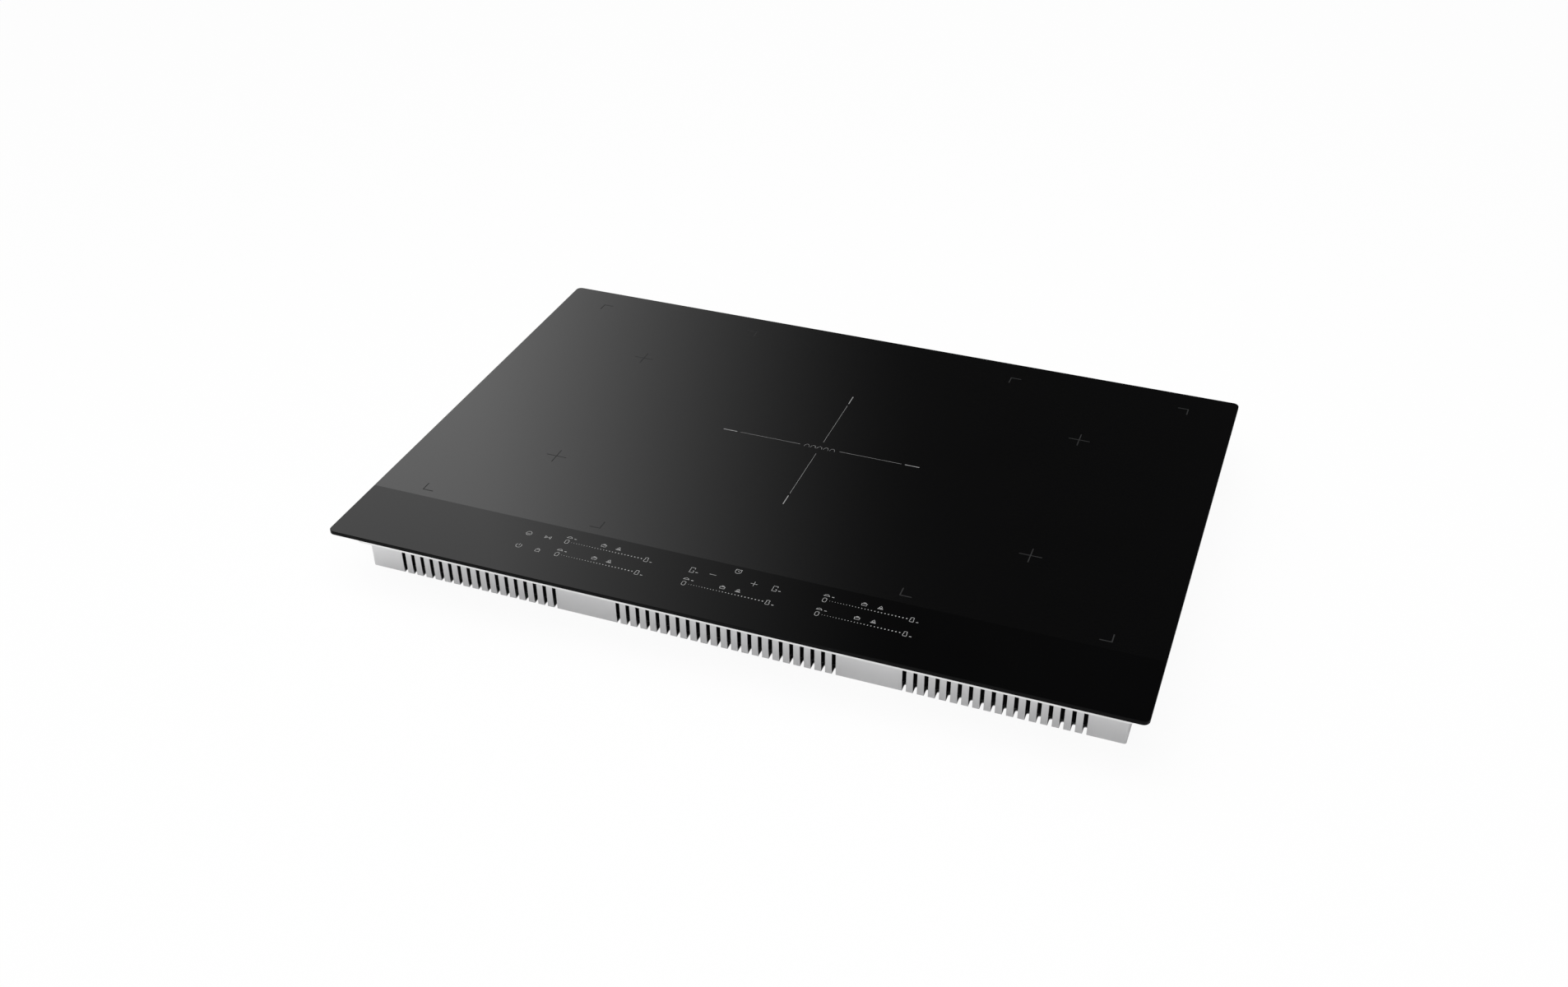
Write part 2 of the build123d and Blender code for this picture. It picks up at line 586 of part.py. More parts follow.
for lane, side in LANES:
    lane_x = side * lane_offset
    with BuildPart() as housing:
        with BuildSketch(Plane((lane_x, blower_y, liner_top))):
            Circle(scroll_outer)
            with Locations((outlet_x, -OUTLET_LENGTH / 2)):
                Rectangle(OUTLET_WIDTH + 2 * BLOWER_WALL, OUTLET_LENGTH)
        extrude(amount=blower_top - liner_top)
        with BuildSketch(Plane((lane_x, blower_y, liner_top))):
            Circle(scroll_inner)
            with Locations((outlet_x, -OUTLET_LENGTH / 2)):
                Rectangle(OUTLET_WIDTH, OUTLET_LENGTH)
        extrude(amount=blower_roof - liner_top, mode=Mode.SUBTRACT)
        with BuildSketch(Plane((lane_x, blower_y, bearing_foot))):
            Circle(BEARING_RADIUS)
        extrude(amount=blower_roof - bearing_foot)
        with BuildSketch(Plane((lane_x, blower_y, bearing_foot))):
            Circle(SHAFT_RADIUS + SHAFT_CLEARANCE)
        extrude(amount=disc_top - bearing_foot, mode=Mode.SUBTRACT)
    housing.part.label = f"blower_housing_{lane}"
    export_step(housing.part, f"parts/blower_housing_{lane}.step")

    with BuildPart() as impeller:
        with BuildSketch(Plane((lane_x, blower_y, disc_bottom))):
            Circle(IMPELLER_RADIUS)
            Circle(cup_inner, mode=Mode.SUBTRACT)
        extrude(amount=IMPELLER_DISC)
        with BuildSketch(Plane((lane_x, blower_y, cup_floor))):
            Circle(HUB_CUP_RADIUS)
        extrude(amount=-HUB_CUP_WALL)
        with BuildSketch(Plane((lane_x, blower_y, cup_floor))):
            Circle(HUB_CUP_RADIUS)
            Circle(cup_inner, mode=Mode.SUBTRACT)
        extrude(amount=disc_top - cup_floor)
        with BuildSketch(Plane((lane_x, blower_y, cup_floor))):
            Circle(SHAFT_RADIUS)
        extrude(amount=shaft_top - cup_floor)
        with BuildSketch(Plane((lane_x, blower_y, blade_bottom))):
            with PolarLocations(blade_circle, BLADE_COUNT):
                Rectangle(BLADE_CHORD, BLADE_THICKNESS, rotation=BLADE_ANGLE)
        extrude(amount=disc_bottom - blade_bottom)
        with BuildSketch(Plane((lane_x, blower_y, blade_bottom))):
            Circle(IMPELLER_RADIUS)
            Circle(blade_circle, mode=Mode.SUBTRACT)
        extrude(amount=IMPELLER_RING)
    impeller.part.label = f"impeller_{lane}"
    export_step(impeller.part, f"parts/impeller_{lane}.step")

# Motor stators, pressed on the housings' bearing tubes
with BuildPart() as blower_motors:
    stator_bottom = (bearing_foot + disc_top - STATOR_HEIGHT) / 2
    with BuildSketch(Plane.XY.offset(stator_bottom)):
        with Locations(*[(side * lane_offset, blower_y) for lane, side in LANES]):
            Circle(cup_inner - STATOR_GAP)
            Circle(BEARING_RADIUS + STATOR_SEAT, mode=Mode.SUBTRACT)
    extrude(amount=STATOR_HEIGHT)
blower_motors.part.label = "blower_motors"
export_step(blower_motors.part, "parts/blower_motors.step")

# Power boards, one in front of each blower
hole_span = (BOARD_WIDTH - 2 * BOARD_HOLE_INSET, board_depth - 2 * BOARD_HOLE_INSET)
filter_span = (FILTER_BOARD_WIDTH - 2 * BOARD_HOLE_INSET, FILTER_BOARD_DEPTH - 2 * BOARD_HOLE_INSET)
board_holes = [
    (side * lane_offset + i * hole_span[0] / 2, board_y + j * hole_span[1] / 2)
    for lane, side in LANES
    for i in (-1, 1)
    for j in (-1, 1)
]
filter_holes = [
    (FILTER_BOARD_X + i * filter_span[0] / 2, filter_y + j * filter_span[1] / 2)
    for i in (-1, 1)
    for j in (-1, 1)
]
heatsink_length = board_depth - 2 * HEATSINK_MARGIN
heatsink_bottom = board_top + TRANSISTOR_SIZE[2]
heatsink_top = PAN_HEIGHT - HEATSINK_HEADROOM
fin_count = int((HEATSINK_WIDTH - FIN_THICKNESS) / FIN_PITCH) + 1

for lane, side in LANES:
    with BuildPart() as board:
        with BuildSketch(Plane((side * lane_offset, board_y, board_bottom))):
            Rectangle(BOARD_WIDTH, board_depth)
            with GridLocations(*hole_span, 2, 2):
                Circle(BOARD_SCREW_RADIUS + SCREW_CLEARANCE, mode=Mode.SUBTRACT)
        extrude(amount=BOARD_THICKNESS)
    board.part.label = f"power_board_{lane}"
    export_step(board.part, f"parts/power_board_{lane}.step")

    with BuildPart() as heatsink:
        sink_x = side * (lane_offset + HEATSINK_SHIFT)
        with BuildSketch(Plane((sink_x, board_y, heatsink_bottom))):
            Rectangle(HEATSINK_WIDTH, heatsink_length)
        extrude(amount=HEATSINK_BASE)
        with BuildSketch(Plane((sink_x, board_y, heatsink_bottom))):
            with GridLocations(FIN_PITCH, 0, fin_count, 1):
                Rectangle(FIN_THICKNESS, heatsink_length)
        extrude(amount=heatsink_top - heatsink_bottom)
    heatsink.part.label = f"heatsink_{lane}"
    export_step(heatsink.part, f"parts/heatsink_{lane}.step")

with BuildPart() as power_transistors:
    for lane, side in LANES:
        with BuildSketch(Plane((side * (lane_offset + HEATSINK_SHIFT), board_y, board_top))):
            with GridLocations(*TRANSISTOR_SPACING, 2, 2):
                Rectangle(*TRANSISTOR_SIZE[:2])
        extrude(amount=TRANSISTOR_SIZE[2])
power_transistors.part.label = "power_transistors"
export_step(power_transistors.part, "parts/power_transistors.step")

with BuildPart() as resonant_capacitors:
    for lane, side in LANES:
        with BuildSketch(Plane((side * (lane_offset - CAPACITOR_SHIFT), board_y, board_top))):
            with GridLocations(0, CAPACITOR_SPACING, 1, CAPACITOR_COUNT):
                Rectangle(*CAPACITOR_SIZE[:2])
        extrude(amount=CAPACITOR_SIZE[2])
    fillet(resonant_capacitors.faces().group_by(Axis.Z)[-1].edges(), CAPACITOR_EDGE)
resonant_capacitors.part.label = "resonant_capacitors"
export_step(resonant_capacitors.part, "parts/resonant_capacitors.step")

# Mains filter board with its choke and capacitors
with BuildPart() as filter_board:
    with BuildSketch(Plane((FILTER_BOARD_X, filter_y, board_bottom))):
        Rectangle(FILTER_BOARD_WIDTH, FILTER_BOARD_DEPTH)
        with GridLocations(*filter_span, 2, 2):
            Circle(BOARD_SCREW_RADIUS + SCREW_CLEARANCE, mode=Mode.SUBTRACT)
    extrude(amount=BOARD_THICKNESS)
filter_board.part.label = "filter_board"
export_step(filter_board.part, "parts/filter_board.step")

with BuildPart() as filter_choke:
    with BuildSketch(Plane((FILTER_BOARD_X - CHOKE_SHIFT, filter_y, board_top))):
        Circle(CHOKE_OUTER)
        Circle(CHOKE_INNER, mode=Mode.SUBTRACT)
    extrude(amount=CHOKE_HEIGHT)
    fillet(filter_choke.faces().filter_by(Axis.Z).sort_by(Axis.Z)[-1].edges(), CHOKE_EDGE)
filter_choke.part.label = "filter_choke"
export_step(filter_choke.part, "parts/filter_choke.step")

with BuildPart() as filter_capacitors:
    with BuildSketch(Plane((FILTER_BOARD_X + FILTER_CAPACITOR_SHIFT, filter_y, board_top))):
        with GridLocations(0, FILTER_CAPACITOR_SPACING, 1, 2):
            Rectangle(*FILTER_CAPACITOR_SIZE[:2])
    extrude(amount=FILTER_CAPACITOR_SIZE[2])
    fillet(filter_capacitors.faces().group_by(Axis.Z)[-1].edges(), CAPACITOR_EDGE)
filter_capacitors.part.label = "filter_capacitors"
export_step(filter_capacitors.part, "parts/filter_capacitors.step")

# Standoffs on the liner and the screws that hold the boards on them
with BuildPart() as board_standoffs:
    with BuildSketch(Plane.XY.offset(liner_top)):
        with Locations(*board_holes, *filter_holes):
            Circle(STANDOFF_RADIUS)
            Circle(BOARD_SCREW_RADIUS + SCREW_CLEARANCE, mode=Mode.SUBTRACT)
    extrude(amount=STANDOFF_HEIGHT)
board_standoffs.part.label = "board_standoffs"
export_step(board_standoffs.part, "parts/board_standoffs.step")

with BuildPart() as board_screws:
    with BuildSketch(Plane.XY.offset(board_top)):
        with Locations(*board_holes, *filter_holes):
            Circle(BOARD_SCREW_HEAD_RADIUS)
    extrude(amount=BOARD_SCREW_HEAD)
    with BuildSketch(Plane.XY.offset(board_top)):
        with Locations(*board_holes, *filter_holes):
            Circle(BOARD_SCREW_RADIUS)
    extrude(amount=-BOARD_SCREW_LENGTH)
board_screws.part.label = "board_screws"
export_step(board_screws.part, "parts/board_screws.step")

# Terminal box: its mouth and its gland panel fill a cut-out in the pan's rear wall
with BuildPart() as terminal_box:
    with BuildSketch(Plane((terminal_x, (terminal_front + rear_wall) / 2, PAN_SHEET))):
        Rectangle(TERMINAL_WIDTH, TERMINAL_DEPTH)
    extrude(amount=terminal_height)
    with BuildSketch(Plane((terminal_x, (terminal_front + rear_wall) / 2, PAN_SHEET + TERMINAL_WALL))):
        Rectangle(TERMINAL_WIDTH - 2 * TERMINAL_WALL, TERMINAL_DEPTH - 2 * TERMINAL_WALL)
    extrude(amount=terminal_height - 2 * TERMINAL_WALL, mode=Mode.SUBTRACT)
    with BuildSketch(Plane.XZ.offset(-rear_wall)):
        with Locations(((mouth_left + mouth_right) / 2, gland_z)):
            Rectangle(mouth_right - mouth_left, terminal_height - 2 * TERMINAL_WALL)
        with Locations((gland_x, gland_z)):
            Circle(GLAND_BODY_RADIUS + GLAND_SEAT)
    extrude(amount=TERMINAL_WALL, mode=Mode.SUBTRACT)
    for ear_x in (terminal_left, mouth_right):
        with BuildSketch(Plane.YZ.offset(ear_x)):
            with Locations((rear_wall, hinge_z)):
                Rectangle(
                    2 * KNUCKLE_RADIUS + COVER_GAP, KNUCKLE_RADIUS + EAR_DROP, align=(Align.MIN, Align.MAX)
                )
            with Locations((hinge_y, hinge_z)):
                Circle(KNUCKLE_RADIUS)
                Circle(HINGE_PIN_RADIUS + HINGE_PIN_SEAT, mode=Mode.SUBTRACT)
        extrude(amount=HINGE_EAR)
terminal_box.part.label = "terminal_box"
export_step(terminal_box.part, "parts/terminal_box.step")

with BuildPart() as cover_hinge_pin:
    with BuildSketch(Plane.YZ.offset(terminal_left)):
        with Locations((hinge_y, hinge_z)):
            Circle(HINGE_PIN_RADIUS)
    extrude(amount=mouth_right + HINGE_EAR - terminal_left)
cover_hinge_pin.part.label = "cover_hinge_pin"
export_step(cover_hinge_pin.part, "parts/cover_hinge_pin.step")

# Cover that hangs from the pin over the terminal box's mouth
with BuildPart() as terminal_cover:
    cover_left = terminal_left + HINGE_EAR + COVER_GAP
    cover_width = mouth_right - COVER_GAP - cover_left
    with BuildSketch(Plane.YZ.offset(cover_left)):
        with Locations((rear_wall + COVER_GAP, PAN_SHEET + COVER_FOOT_GAP)):
            Rectangle(COVER_THICKNESS, hinge_z - PAN_SHEET - COVER_FOOT_GAP, align=(Align.MIN, Align.MIN))
        with Locations((hinge_y, hinge_z)):
            Circle(KNUCKLE_RADIUS)
            Circle(HINGE_PIN_RADIUS + HINGE_CLEARANCE, mode=Mode.SUBTRACT)
    extrude(amount=cover_width)
terminal_cover.part.label = "terminal_cover"
export_step(terminal_cover.part, "parts/terminal_cover.step")

with BuildPart() as cable_gland:
    with BuildSketch(Plane((gland_x, rear_wall, gland_z), x_dir=(1, 0, 0), z_dir=(0, 1, 0))):
        Circle(GLAND_FLANGE_RADIUS)
        Circle(GLAND_BORE_RADIUS, mode=Mode.SUBTRACT)
    extrude(amount=GLAND_FLANGE)
    fillet(cable_gland.faces().sort_by(Axis.Y)[-1].edges().sort_by(SortBy.RADIUS)[-1], GLAND_FLANGE / 4)
    with BuildSketch(Plane((gland_x, rear_wall, gland_z), x_dir=(1, 0, 0), z_dir=(0, 1, 0))):
        Circle(GLAND_BODY_RADIUS)
        Circle(GLAND_BORE_RADIUS, mode=Mode.SUBTRACT)
    extrude(amount=-TERMINAL_WALL - GLAND_TAIL)
cable_gland.part.label = "cable_gland"
export_step(cable_gland.part, "parts/cable_gland.step")

# Screw terminals inside the box, wires from the back and screws from above
with BuildPart() as terminal_block:
    block_front = terminal_front + BLOCK_GAP
    block_floor = PAN_SHEET + TERMINAL_WALL
    block_top = block_floor + BLOCK_SIZE[2]
    block_x = (mouth_left + mouth_right) / 2
    block_rear = block_front + BLOCK_SIZE[1]
    with BuildSketch(Plane((block_x, (block_front + block_rear) / 2, block_floor))):
        Rectangle(*BLOCK_SIZE[:2])
    extrude(amount=BLOCK_SIZE[2])
    with BuildSketch(Plane.XZ.offset(-block_rear)):
        with Locations((block_x, block_floor + BLOCK_SIZE[2] / 2)):
            with GridLocations(POLE_PITCH, 0, POLE_COUNT, 1):
                Circle(POLE_WIRE_RADIUS)
    extrude(amount=POLE_WIRE_DEPTH, mode=Mode.SUBTRACT)
    with BuildSketch(Plane((block_x, (block_front + block_rear) / 2, block_top))):
        with GridLocations(POLE_PITCH, 0, POLE_COUNT, 1):
            Circle(POLE_SCREW_RADIUS + SCREW_CLEARANCE)
    extrude(amount=-POLE_SCREW_DEPTH, mode=Mode.SUBTRACT)
terminal_block.part.label = "terminal_block"
export_step(terminal_block.part, "parts/terminal_block.step")

with BuildPart() as terminal_screws:
    with BuildSketch(Plane((block_x, (block_front + block_rear) / 2, block_top))):
        with GridLocations(POLE_PITCH, 0, POLE_COUNT, 1):
            Circle(POLE_SCREW_HEAD_RADIUS)
    extrude(amount=POLE_SCREW_HEAD)
    with BuildSketch(Plane((block_x, (block_front + block_rear) / 2, block_top))):
        with GridLocations(POLE_PITCH, 0, POLE_COUNT, 1):
            Circle(POLE_SCREW_RADIUS)
    extrude(amount=SCREW_CLEARANCE - POLE_SCREW_DEPTH)
terminal_screws.part.label = "terminal_screws"
export_step(terminal_screws.part, "parts/terminal_screws.step")

# Touch controls under the front band: an open holder, its board and the pads that meet the glass
with BuildPart() as touch_holder:
    with BuildSketch(Plane((TOUCH_CENTRE_X, touch_y, tray_floor))):
        Rectangle(TOUCH_WIDTH, touch_depth)
    extrude(amount=glass_bottom - TOUCH_TOP_GAP - tray_floor)
    with BuildSketch(Plane((TOUCH_CENTRE_X, touch_y, tray_floor + TOUCH_WALL))):
        Rectangle(TOUCH_WIDTH - 2 * TOUCH_WALL, touch_depth - 2 * TOUCH_WALL)
    extrude(amount=glass_bottom - tray_floor, mode=Mode.SUBTRACT)
    with BuildSketch(Plane((TOUCH_CENTRE_X, touch_y, tray_floor))):
        post_pitch = (TOUCH_WIDTH - 2 * TOUCH_WALL - 2 * TOUCH_POST_INSET) / (TOUCH_POST_COUNT - 1)
        post_rows = touch_depth - 2 * TOUCH_WALL - 2 * TOUCH_POST_INSET
        with GridLocations(post_pitch, post_rows, TOUCH_POST_COUNT, 2):
            Circle(TOUCH_POST_RADIUS)
    extrude(amount=touch_board_bottom - tray_floor)
    with BuildSketch(Plane.XY.offset(tray_floor)):
        with Locations((CABLE_X, cable_y)):
            Rectangle(*cable_slot)
    extrude(amount=TOUCH_WALL, mode=Mode.SUBTRACT)
touch_holder.part.label = "touch_holder"
export_step(touch_holder.part, "parts/touch_holder.step")

with BuildPart() as touch_board:
    touch_board_inset = TOUCH_WALL + TOUCH_BOARD_GAP
    with BuildSketch(Plane((TOUCH_CENTRE_X, touch_y, touch_board_bottom))):
        Rectangle(TOUCH_WIDTH - 2 * touch_board_inset, touch_depth - 2 * touch_board_inset)
    extrude(amount=BOARD_THICKNESS)
touch_board.part.label = "touch_board"
export_step(touch_board.part, "parts/touch_board.step")


def key_row(row, keys, sliders):
    """Return the pad centres of one row of keys and sliders, row measured from the glass's front edge."""
    places = list(keys)
    for start in sliders:
        places += [start + i * SLIDER_LENGTH / (SLIDER_PADS - 1) for i in range(SLIDER_PADS)]
    return [(x, row - GLASS_DEPTH / 2) for x in places]


with BuildPart() as touch_pads:
    with BuildSketch(Plane.XY.offset(touch_board_top)):
        with Locations(*key_row(KEY_ROW_REAR, REAR_KEYS, REAR_SLIDERS)):
            Circle(PAD_RADIUS)
        with Locations(*key_row(KEY_ROW_FRONT, FRONT_KEYS, FRONT_SLIDERS)):
            Circle(PAD_RADIUS)
    extrude(amount=glass_bottom - touch_board_top)
touch_pads.part.label = "touch_pads"
export_step(touch_pads.part, "parts/touch_pads.step")

with BuildPart() as ui_cable:
    with BuildSketch(Plane.YZ.offset(CABLE_X - CABLE_WIDTH / 2)):
        with BuildLine():
            FilletPolyline(
                (cable_y, touch_board_bottom),
                (cable_y, board_top + CABLE_THICKNESS / 2),
                (board_front + CABLE_RUN, board_top + CABLE_THICKNESS / 2),
                radius=CABLE_BEND,
            )
        trace(line_width=CABLE_THICKNESS)
    extrude(amount=CABLE_WIDTH)
ui_cable.part.label = "ui_cable"
export_step(ui_cable.part, "parts/ui_cable.step")
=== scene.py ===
"""Looks of a built-in induction cooktop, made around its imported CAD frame.

Everything is in metres, in the CAD model's own frame: the origin is under the middle of the case,
+X is to the right, +Y to the back and +Z up.
"""

import json
import logging
from collections.abc import Sequence
from dataclasses import dataclass
from enum import Enum
from functools import cache
from math import cos, pi, radians, sin

import bmesh
import bpy
from mathutils import Matrix, Vector


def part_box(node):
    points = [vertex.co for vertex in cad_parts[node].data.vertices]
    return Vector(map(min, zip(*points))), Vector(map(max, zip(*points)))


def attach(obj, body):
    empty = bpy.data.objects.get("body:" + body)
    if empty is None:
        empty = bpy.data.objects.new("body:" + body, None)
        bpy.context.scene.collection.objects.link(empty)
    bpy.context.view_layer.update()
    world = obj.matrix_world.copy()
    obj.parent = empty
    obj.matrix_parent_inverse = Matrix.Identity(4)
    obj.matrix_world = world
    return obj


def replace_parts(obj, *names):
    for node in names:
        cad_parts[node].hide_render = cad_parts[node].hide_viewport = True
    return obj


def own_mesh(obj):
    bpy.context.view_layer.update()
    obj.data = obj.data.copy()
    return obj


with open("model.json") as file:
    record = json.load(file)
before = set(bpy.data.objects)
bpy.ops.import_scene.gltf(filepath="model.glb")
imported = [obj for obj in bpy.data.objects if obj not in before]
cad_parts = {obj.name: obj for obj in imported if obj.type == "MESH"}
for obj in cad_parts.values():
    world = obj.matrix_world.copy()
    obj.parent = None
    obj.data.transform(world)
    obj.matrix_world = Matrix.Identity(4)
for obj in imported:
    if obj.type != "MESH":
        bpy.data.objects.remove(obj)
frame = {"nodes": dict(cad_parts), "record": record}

LOG = logging.getLogger("cooktop")
MM = 0.001
CASE = "case"
ZONES = ("rear_left", "front_left", "centre", "rear_right", "front_right")

# Points that lie closer than this are one point.
MERGE = 0.001 * MM
# A face of the glass whose normal points up by more than this belongs to its top.
LEVEL_FACE = 0.95
# The part of a noise's or a wave's range that is stretched over the whole of a finish.
MID_RANGE = (0.3, 0.7)
# The angle, in radians, that the wave texture runs through in a metre at a scale of 1.
WAVE_RATE = 20.0
# The width and the softness of the lines on a circuit board, as shares of their pattern.
TRACK_WIDTH = 0.06
TRACK_SOFTNESS = 0.1
# The octaves of noise in a colour's patches and in a surface's grain.
PATCH_DETAIL = 3.0
GRAIN_DETAIL = 2.0
# The points in a turn of a winding or a spring, and the sides of a round wire.
LITZ_STEPS = 56
SPRING_STEPS = 36
SPRING_SIDES = 12
CHOKE_SIDES = 8

Point = tuple[float, float]
Colour = tuple[float, float, float]
Socket = bpy.types.NodeSocket


class Graph:
    """A node tree, with short calls that add and join its nodes."""

    def __init__(self, tree: bpy.types.NodeTree) -> None:
        """Keep the tree that the calls work on."""
        self.tree = tree

    def add(self, kind: str, inputs: dict | None = None, **settings: object) -> bpy.types.Node:
        """Add a node.

        Args:
            kind: Blender's name for the type of node.
            inputs: a socket to join or a value to set, by the input's name or number.
            settings: values of the node's own properties.

        Returns:
            The new node.
        """
        node = self.tree.nodes.new(kind)
        for name, value in settings.items():
            setattr(node, name, value)
        for name, value in (inputs or {}).items():
            if isinstance(value, Socket):
                self.tree.links.new(value, node.inputs[name])
            else:
                node.inputs[name].default_value = value
        return node

    def math(self, operation: str, first: Socket | float, second: Socket | float = 0.0) -> Socket:
        """Add a sum of two numbers and return its result.

        Args:
            operation: Blender's name for the sum, such as MULTIPLY.
            first: the first number, or the socket that gives it.
            second: the second number, or the socket that gives it.

        Returns:
            The socket with the result.
        """
        return self.add("ShaderNodeMath", {0: first, 1: second}, operation=operation).outputs[0]

    def spread(self, value: Socket, low: float, high: float, to_low: float, to_high: float) -> Socket:
        """Stretch a range of a value smoothly onto another range.

        Args:
            value: the socket to read.
            low: the value that becomes to_low.
            high: the value that becomes to_high.
            to_low: the result at low and below.
            to_high: the result at high and above.

        Returns:
            The socket with the result.
        """
        sockets = {"Value": value, "From Min": low, "From Max": high, "To Min": to_low, "To Max": to_high}
        node = self.add("ShaderNodeMapRange", sockets, interpolation_type="SMOOTHSTEP")
        return node.outputs["Result"]

    def blend(self, share: Socket, first: Colour | Socket, second: Colour | Socket) -> Socket:
        """Mix two colours.

        Args:
            share: how much of the second colour shows, from 0 to 1.
            first: the first colour.
            second: the second colour.

        Returns:
            The socket with the mixed colour.
        """
        colours = {0: share, 6: opaque(first), 7: opaque(second)}
        return self.add("ShaderNodeMix", colours, data_type="RGBA").outputs[2]

    def noise(self, place: Socket, scale: float, detail: float) -> Socket:
        """Add a cloudy noise and return its height.

        Args:
            place: the coordinates to read.
            scale: clouds in a metre.
            detail: octaves of finer noise.

        Returns:
            The socket with the height, from 0 to 1.
        """
        sockets = {"Vector": place, "Scale": scale, "Detail": detail}
        return self.add("ShaderNodeTexNoise", sockets).outputs["Fac"]


def opaque(colour: Colour | Socket) -> tuple[float, ...] | Socket:
    """Return a colour with full alpha, and a socket as it is."""
    return colour if isinstance(colour, Socket) else (*colour, 1.0)


def shade(colour: Colour, share: float) -> Colour:
    """Return a colour made lighter or darker by a share of itself."""
    return tuple(min(1.0, part * share) for part in colour)


class Grain(Enum):
    """The way that a fine grain runs: how far one grain is drawn out along X, Y and Z."""

    EVEN = (1.0, 1.0, 1.0)
    ALONG_X = (90.0, 1.0, 1.0)
    ALONG_Y = (1.0, 90.0, 1.0)


class Motif(Enum):
    """A figure that a pattern repeats."""

    BANDS_X = "X"
    BANDS_Z = "Z"
    CELLS = "cells"
    TRACKS = "tracks"


@dataclass(frozen=True)
class Pattern:
    """A repeated figure in a second colour.

    Attributes:
        motif: the figure.
        colour: its colour.
        pitch: the distance from one to the next, in metres.
        depth: how far it stands proud, in metres.
    """

    motif: Motif
    colour: Colour
    pitch: float
    depth: float = 0.0

    def mask(self, graph: Graph, place: Socket) -> Socket:
        """Return where the figure shows.

        Args:
            graph: the material's nodes.
            place: the coordinates to read.

        Returns:
            The socket with a share that runs from 0 beside the figure to 1 on it.
        """
        if self.motif is Motif.CELLS:
            node = graph.add("ShaderNodeTexVoronoi", {"Vector": place, "Scale": 1 / self.pitch})
            return node.outputs["Distance"]
        if self.motif is Motif.TRACKS:
            sockets = {"Vector": place, "Scale": 1 / self.pitch}
            sockets |= {"Mortar Size": TRACK_WIDTH, "Mortar Smooth": TRACK_SOFTNESS}
            return graph.add("ShaderNodeTexBrick", sockets).outputs["Fac"]
        sockets = {"Vector": place, "Scale": 2 * pi / WAVE_RATE / self.pitch}
        wave = graph.add("ShaderNodeTexWave", sockets, bands_direction=self.motif.value).outputs["Fac"]
        return graph.spread(wave, *MID_RANGE, 0.0, 1.0)


@dataclass(frozen=True)
class Finish:
    """A surface: a ground colour that drifts, a roughness that varies and a fine relief.

    Attributes:
        name: the material's name.
        colour: the ground colour.
        drift: the share by which the colour gets lighter and darker.
        patch: how wide one patch of that drift is, in metres.
        roughness: the least and the greatest roughness.
        grain: how wide one grain of the relief is, in metres.
        relief: how deep the relief is, in metres.
        run: the way that the grain is drawn out.
        metallic: 1 for a bare metal and 0 for the rest.
        shine: the strength of the mirror gloss, 0.5 on plain plastic or glass.
        pattern: a figure in a second colour.
    """

    name: str
    colour: Colour
    drift: float
    patch: float
    roughness: tuple[float, float]
    grain: float
    relief: float
    run: Grain = Grain.EVEN
    metallic: float = 0.0
    shine: float = 0.5
    pattern: Pattern | None = None

    @cache
    def material(self) -> bpy.types.Material:
        """Make the finish's material, once.

        Returns:
            The material.
        """
        made = bpy.data.materials.new(f"{self.name}_finish")
        made.use_nodes = True
        made.diffuse_color = opaque(self.colour)
        graph = Graph(made.node_tree)
        shader = graph.tree.nodes["Principled BSDF"]
        shader.inputs["Metallic"].default_value = self.metallic
        shader.inputs["Specular IOR Level"].default_value = self.shine
        place = graph.add("ShaderNodeTexCoord").outputs["Object"]
        patches = graph.spread(graph.noise(place, 1 / self.patch, PATCH_DETAIL), *MID_RANGE, 0.0, 1.0)
        tint = graph.blend(patches, shade(self.colour, 1 - self.drift), shade(self.colour, 1 + self.drift))
        stretch = tuple(1 / (self.grain * part) for part in self.run.value)
        fine = graph.add("ShaderNodeMapping", {"Vector": place, "Scale": stretch}).outputs[0]
        grains = graph.noise(fine, 1.0, GRAIN_DETAIL)
        relief = graph.add("ShaderNodeBump", {"Height": grains, "Distance": self.relief}).outputs[0]
        if self.pattern is not None:
            mask = self.pattern.mask(graph, place)
            tint = graph.blend(mask, tint, self.pattern.colour)
            proud = {"Height": mask, "Distance": self.pattern.depth, "Normal": relief}
            relief = graph.add("ShaderNodeBump", proud).outputs[0]
        graph.tree.links.new(tint, shader.inputs["Base Color"])
        roughness = graph.spread(grains, *MID_RANGE, *self.roughness)
        graph.tree.links.new(roughness, shader.inputs["Roughness"])
        graph.tree.links.new(relief, shader.inputs["Normal"])
        return made


BLACK_GLASS = Finish("black_glass", (0.0012, 0.0012, 0.0013), 0.1, 0.12, (0.13, 0.16), 0.4 * MM, 0.0)
GROUND_EDGE = Finish(
    "ground_edge", (0.0017, 0.0017, 0.0018), 0.15, 6 * MM, (0.35, 0.45), 0.2 * MM, 0.001 * MM, shine=0.06
)
BAND_GLOSS = Finish(
    "band_gloss", (0.0016, 0.0016, 0.0017), 0.1, 0.12, (0.07, 0.09), 0.4 * MM, 0.0, shine=0.24
)
ZONE_PRINT = Finish(
    "zone_print", (0.028, 0.028, 0.0285), 0.1, 4 * MM, (0.65, 0.75), 0.1 * MM, 0.002 * MM, shine=0.05
)
CROSS_PRINT = Finish(
    "cross_print", (0.32, 0.32, 0.32), 0.1, 4 * MM, (0.6, 0.7), 0.1 * MM, 0.004 * MM, shine=0.2
)
ICON_PRINT = Finish(
    "icon_print", (0.36, 0.36, 0.36), 0.08, 4 * MM, (0.6, 0.7), 0.1 * MM, 0.004 * MM, shine=0.2
)

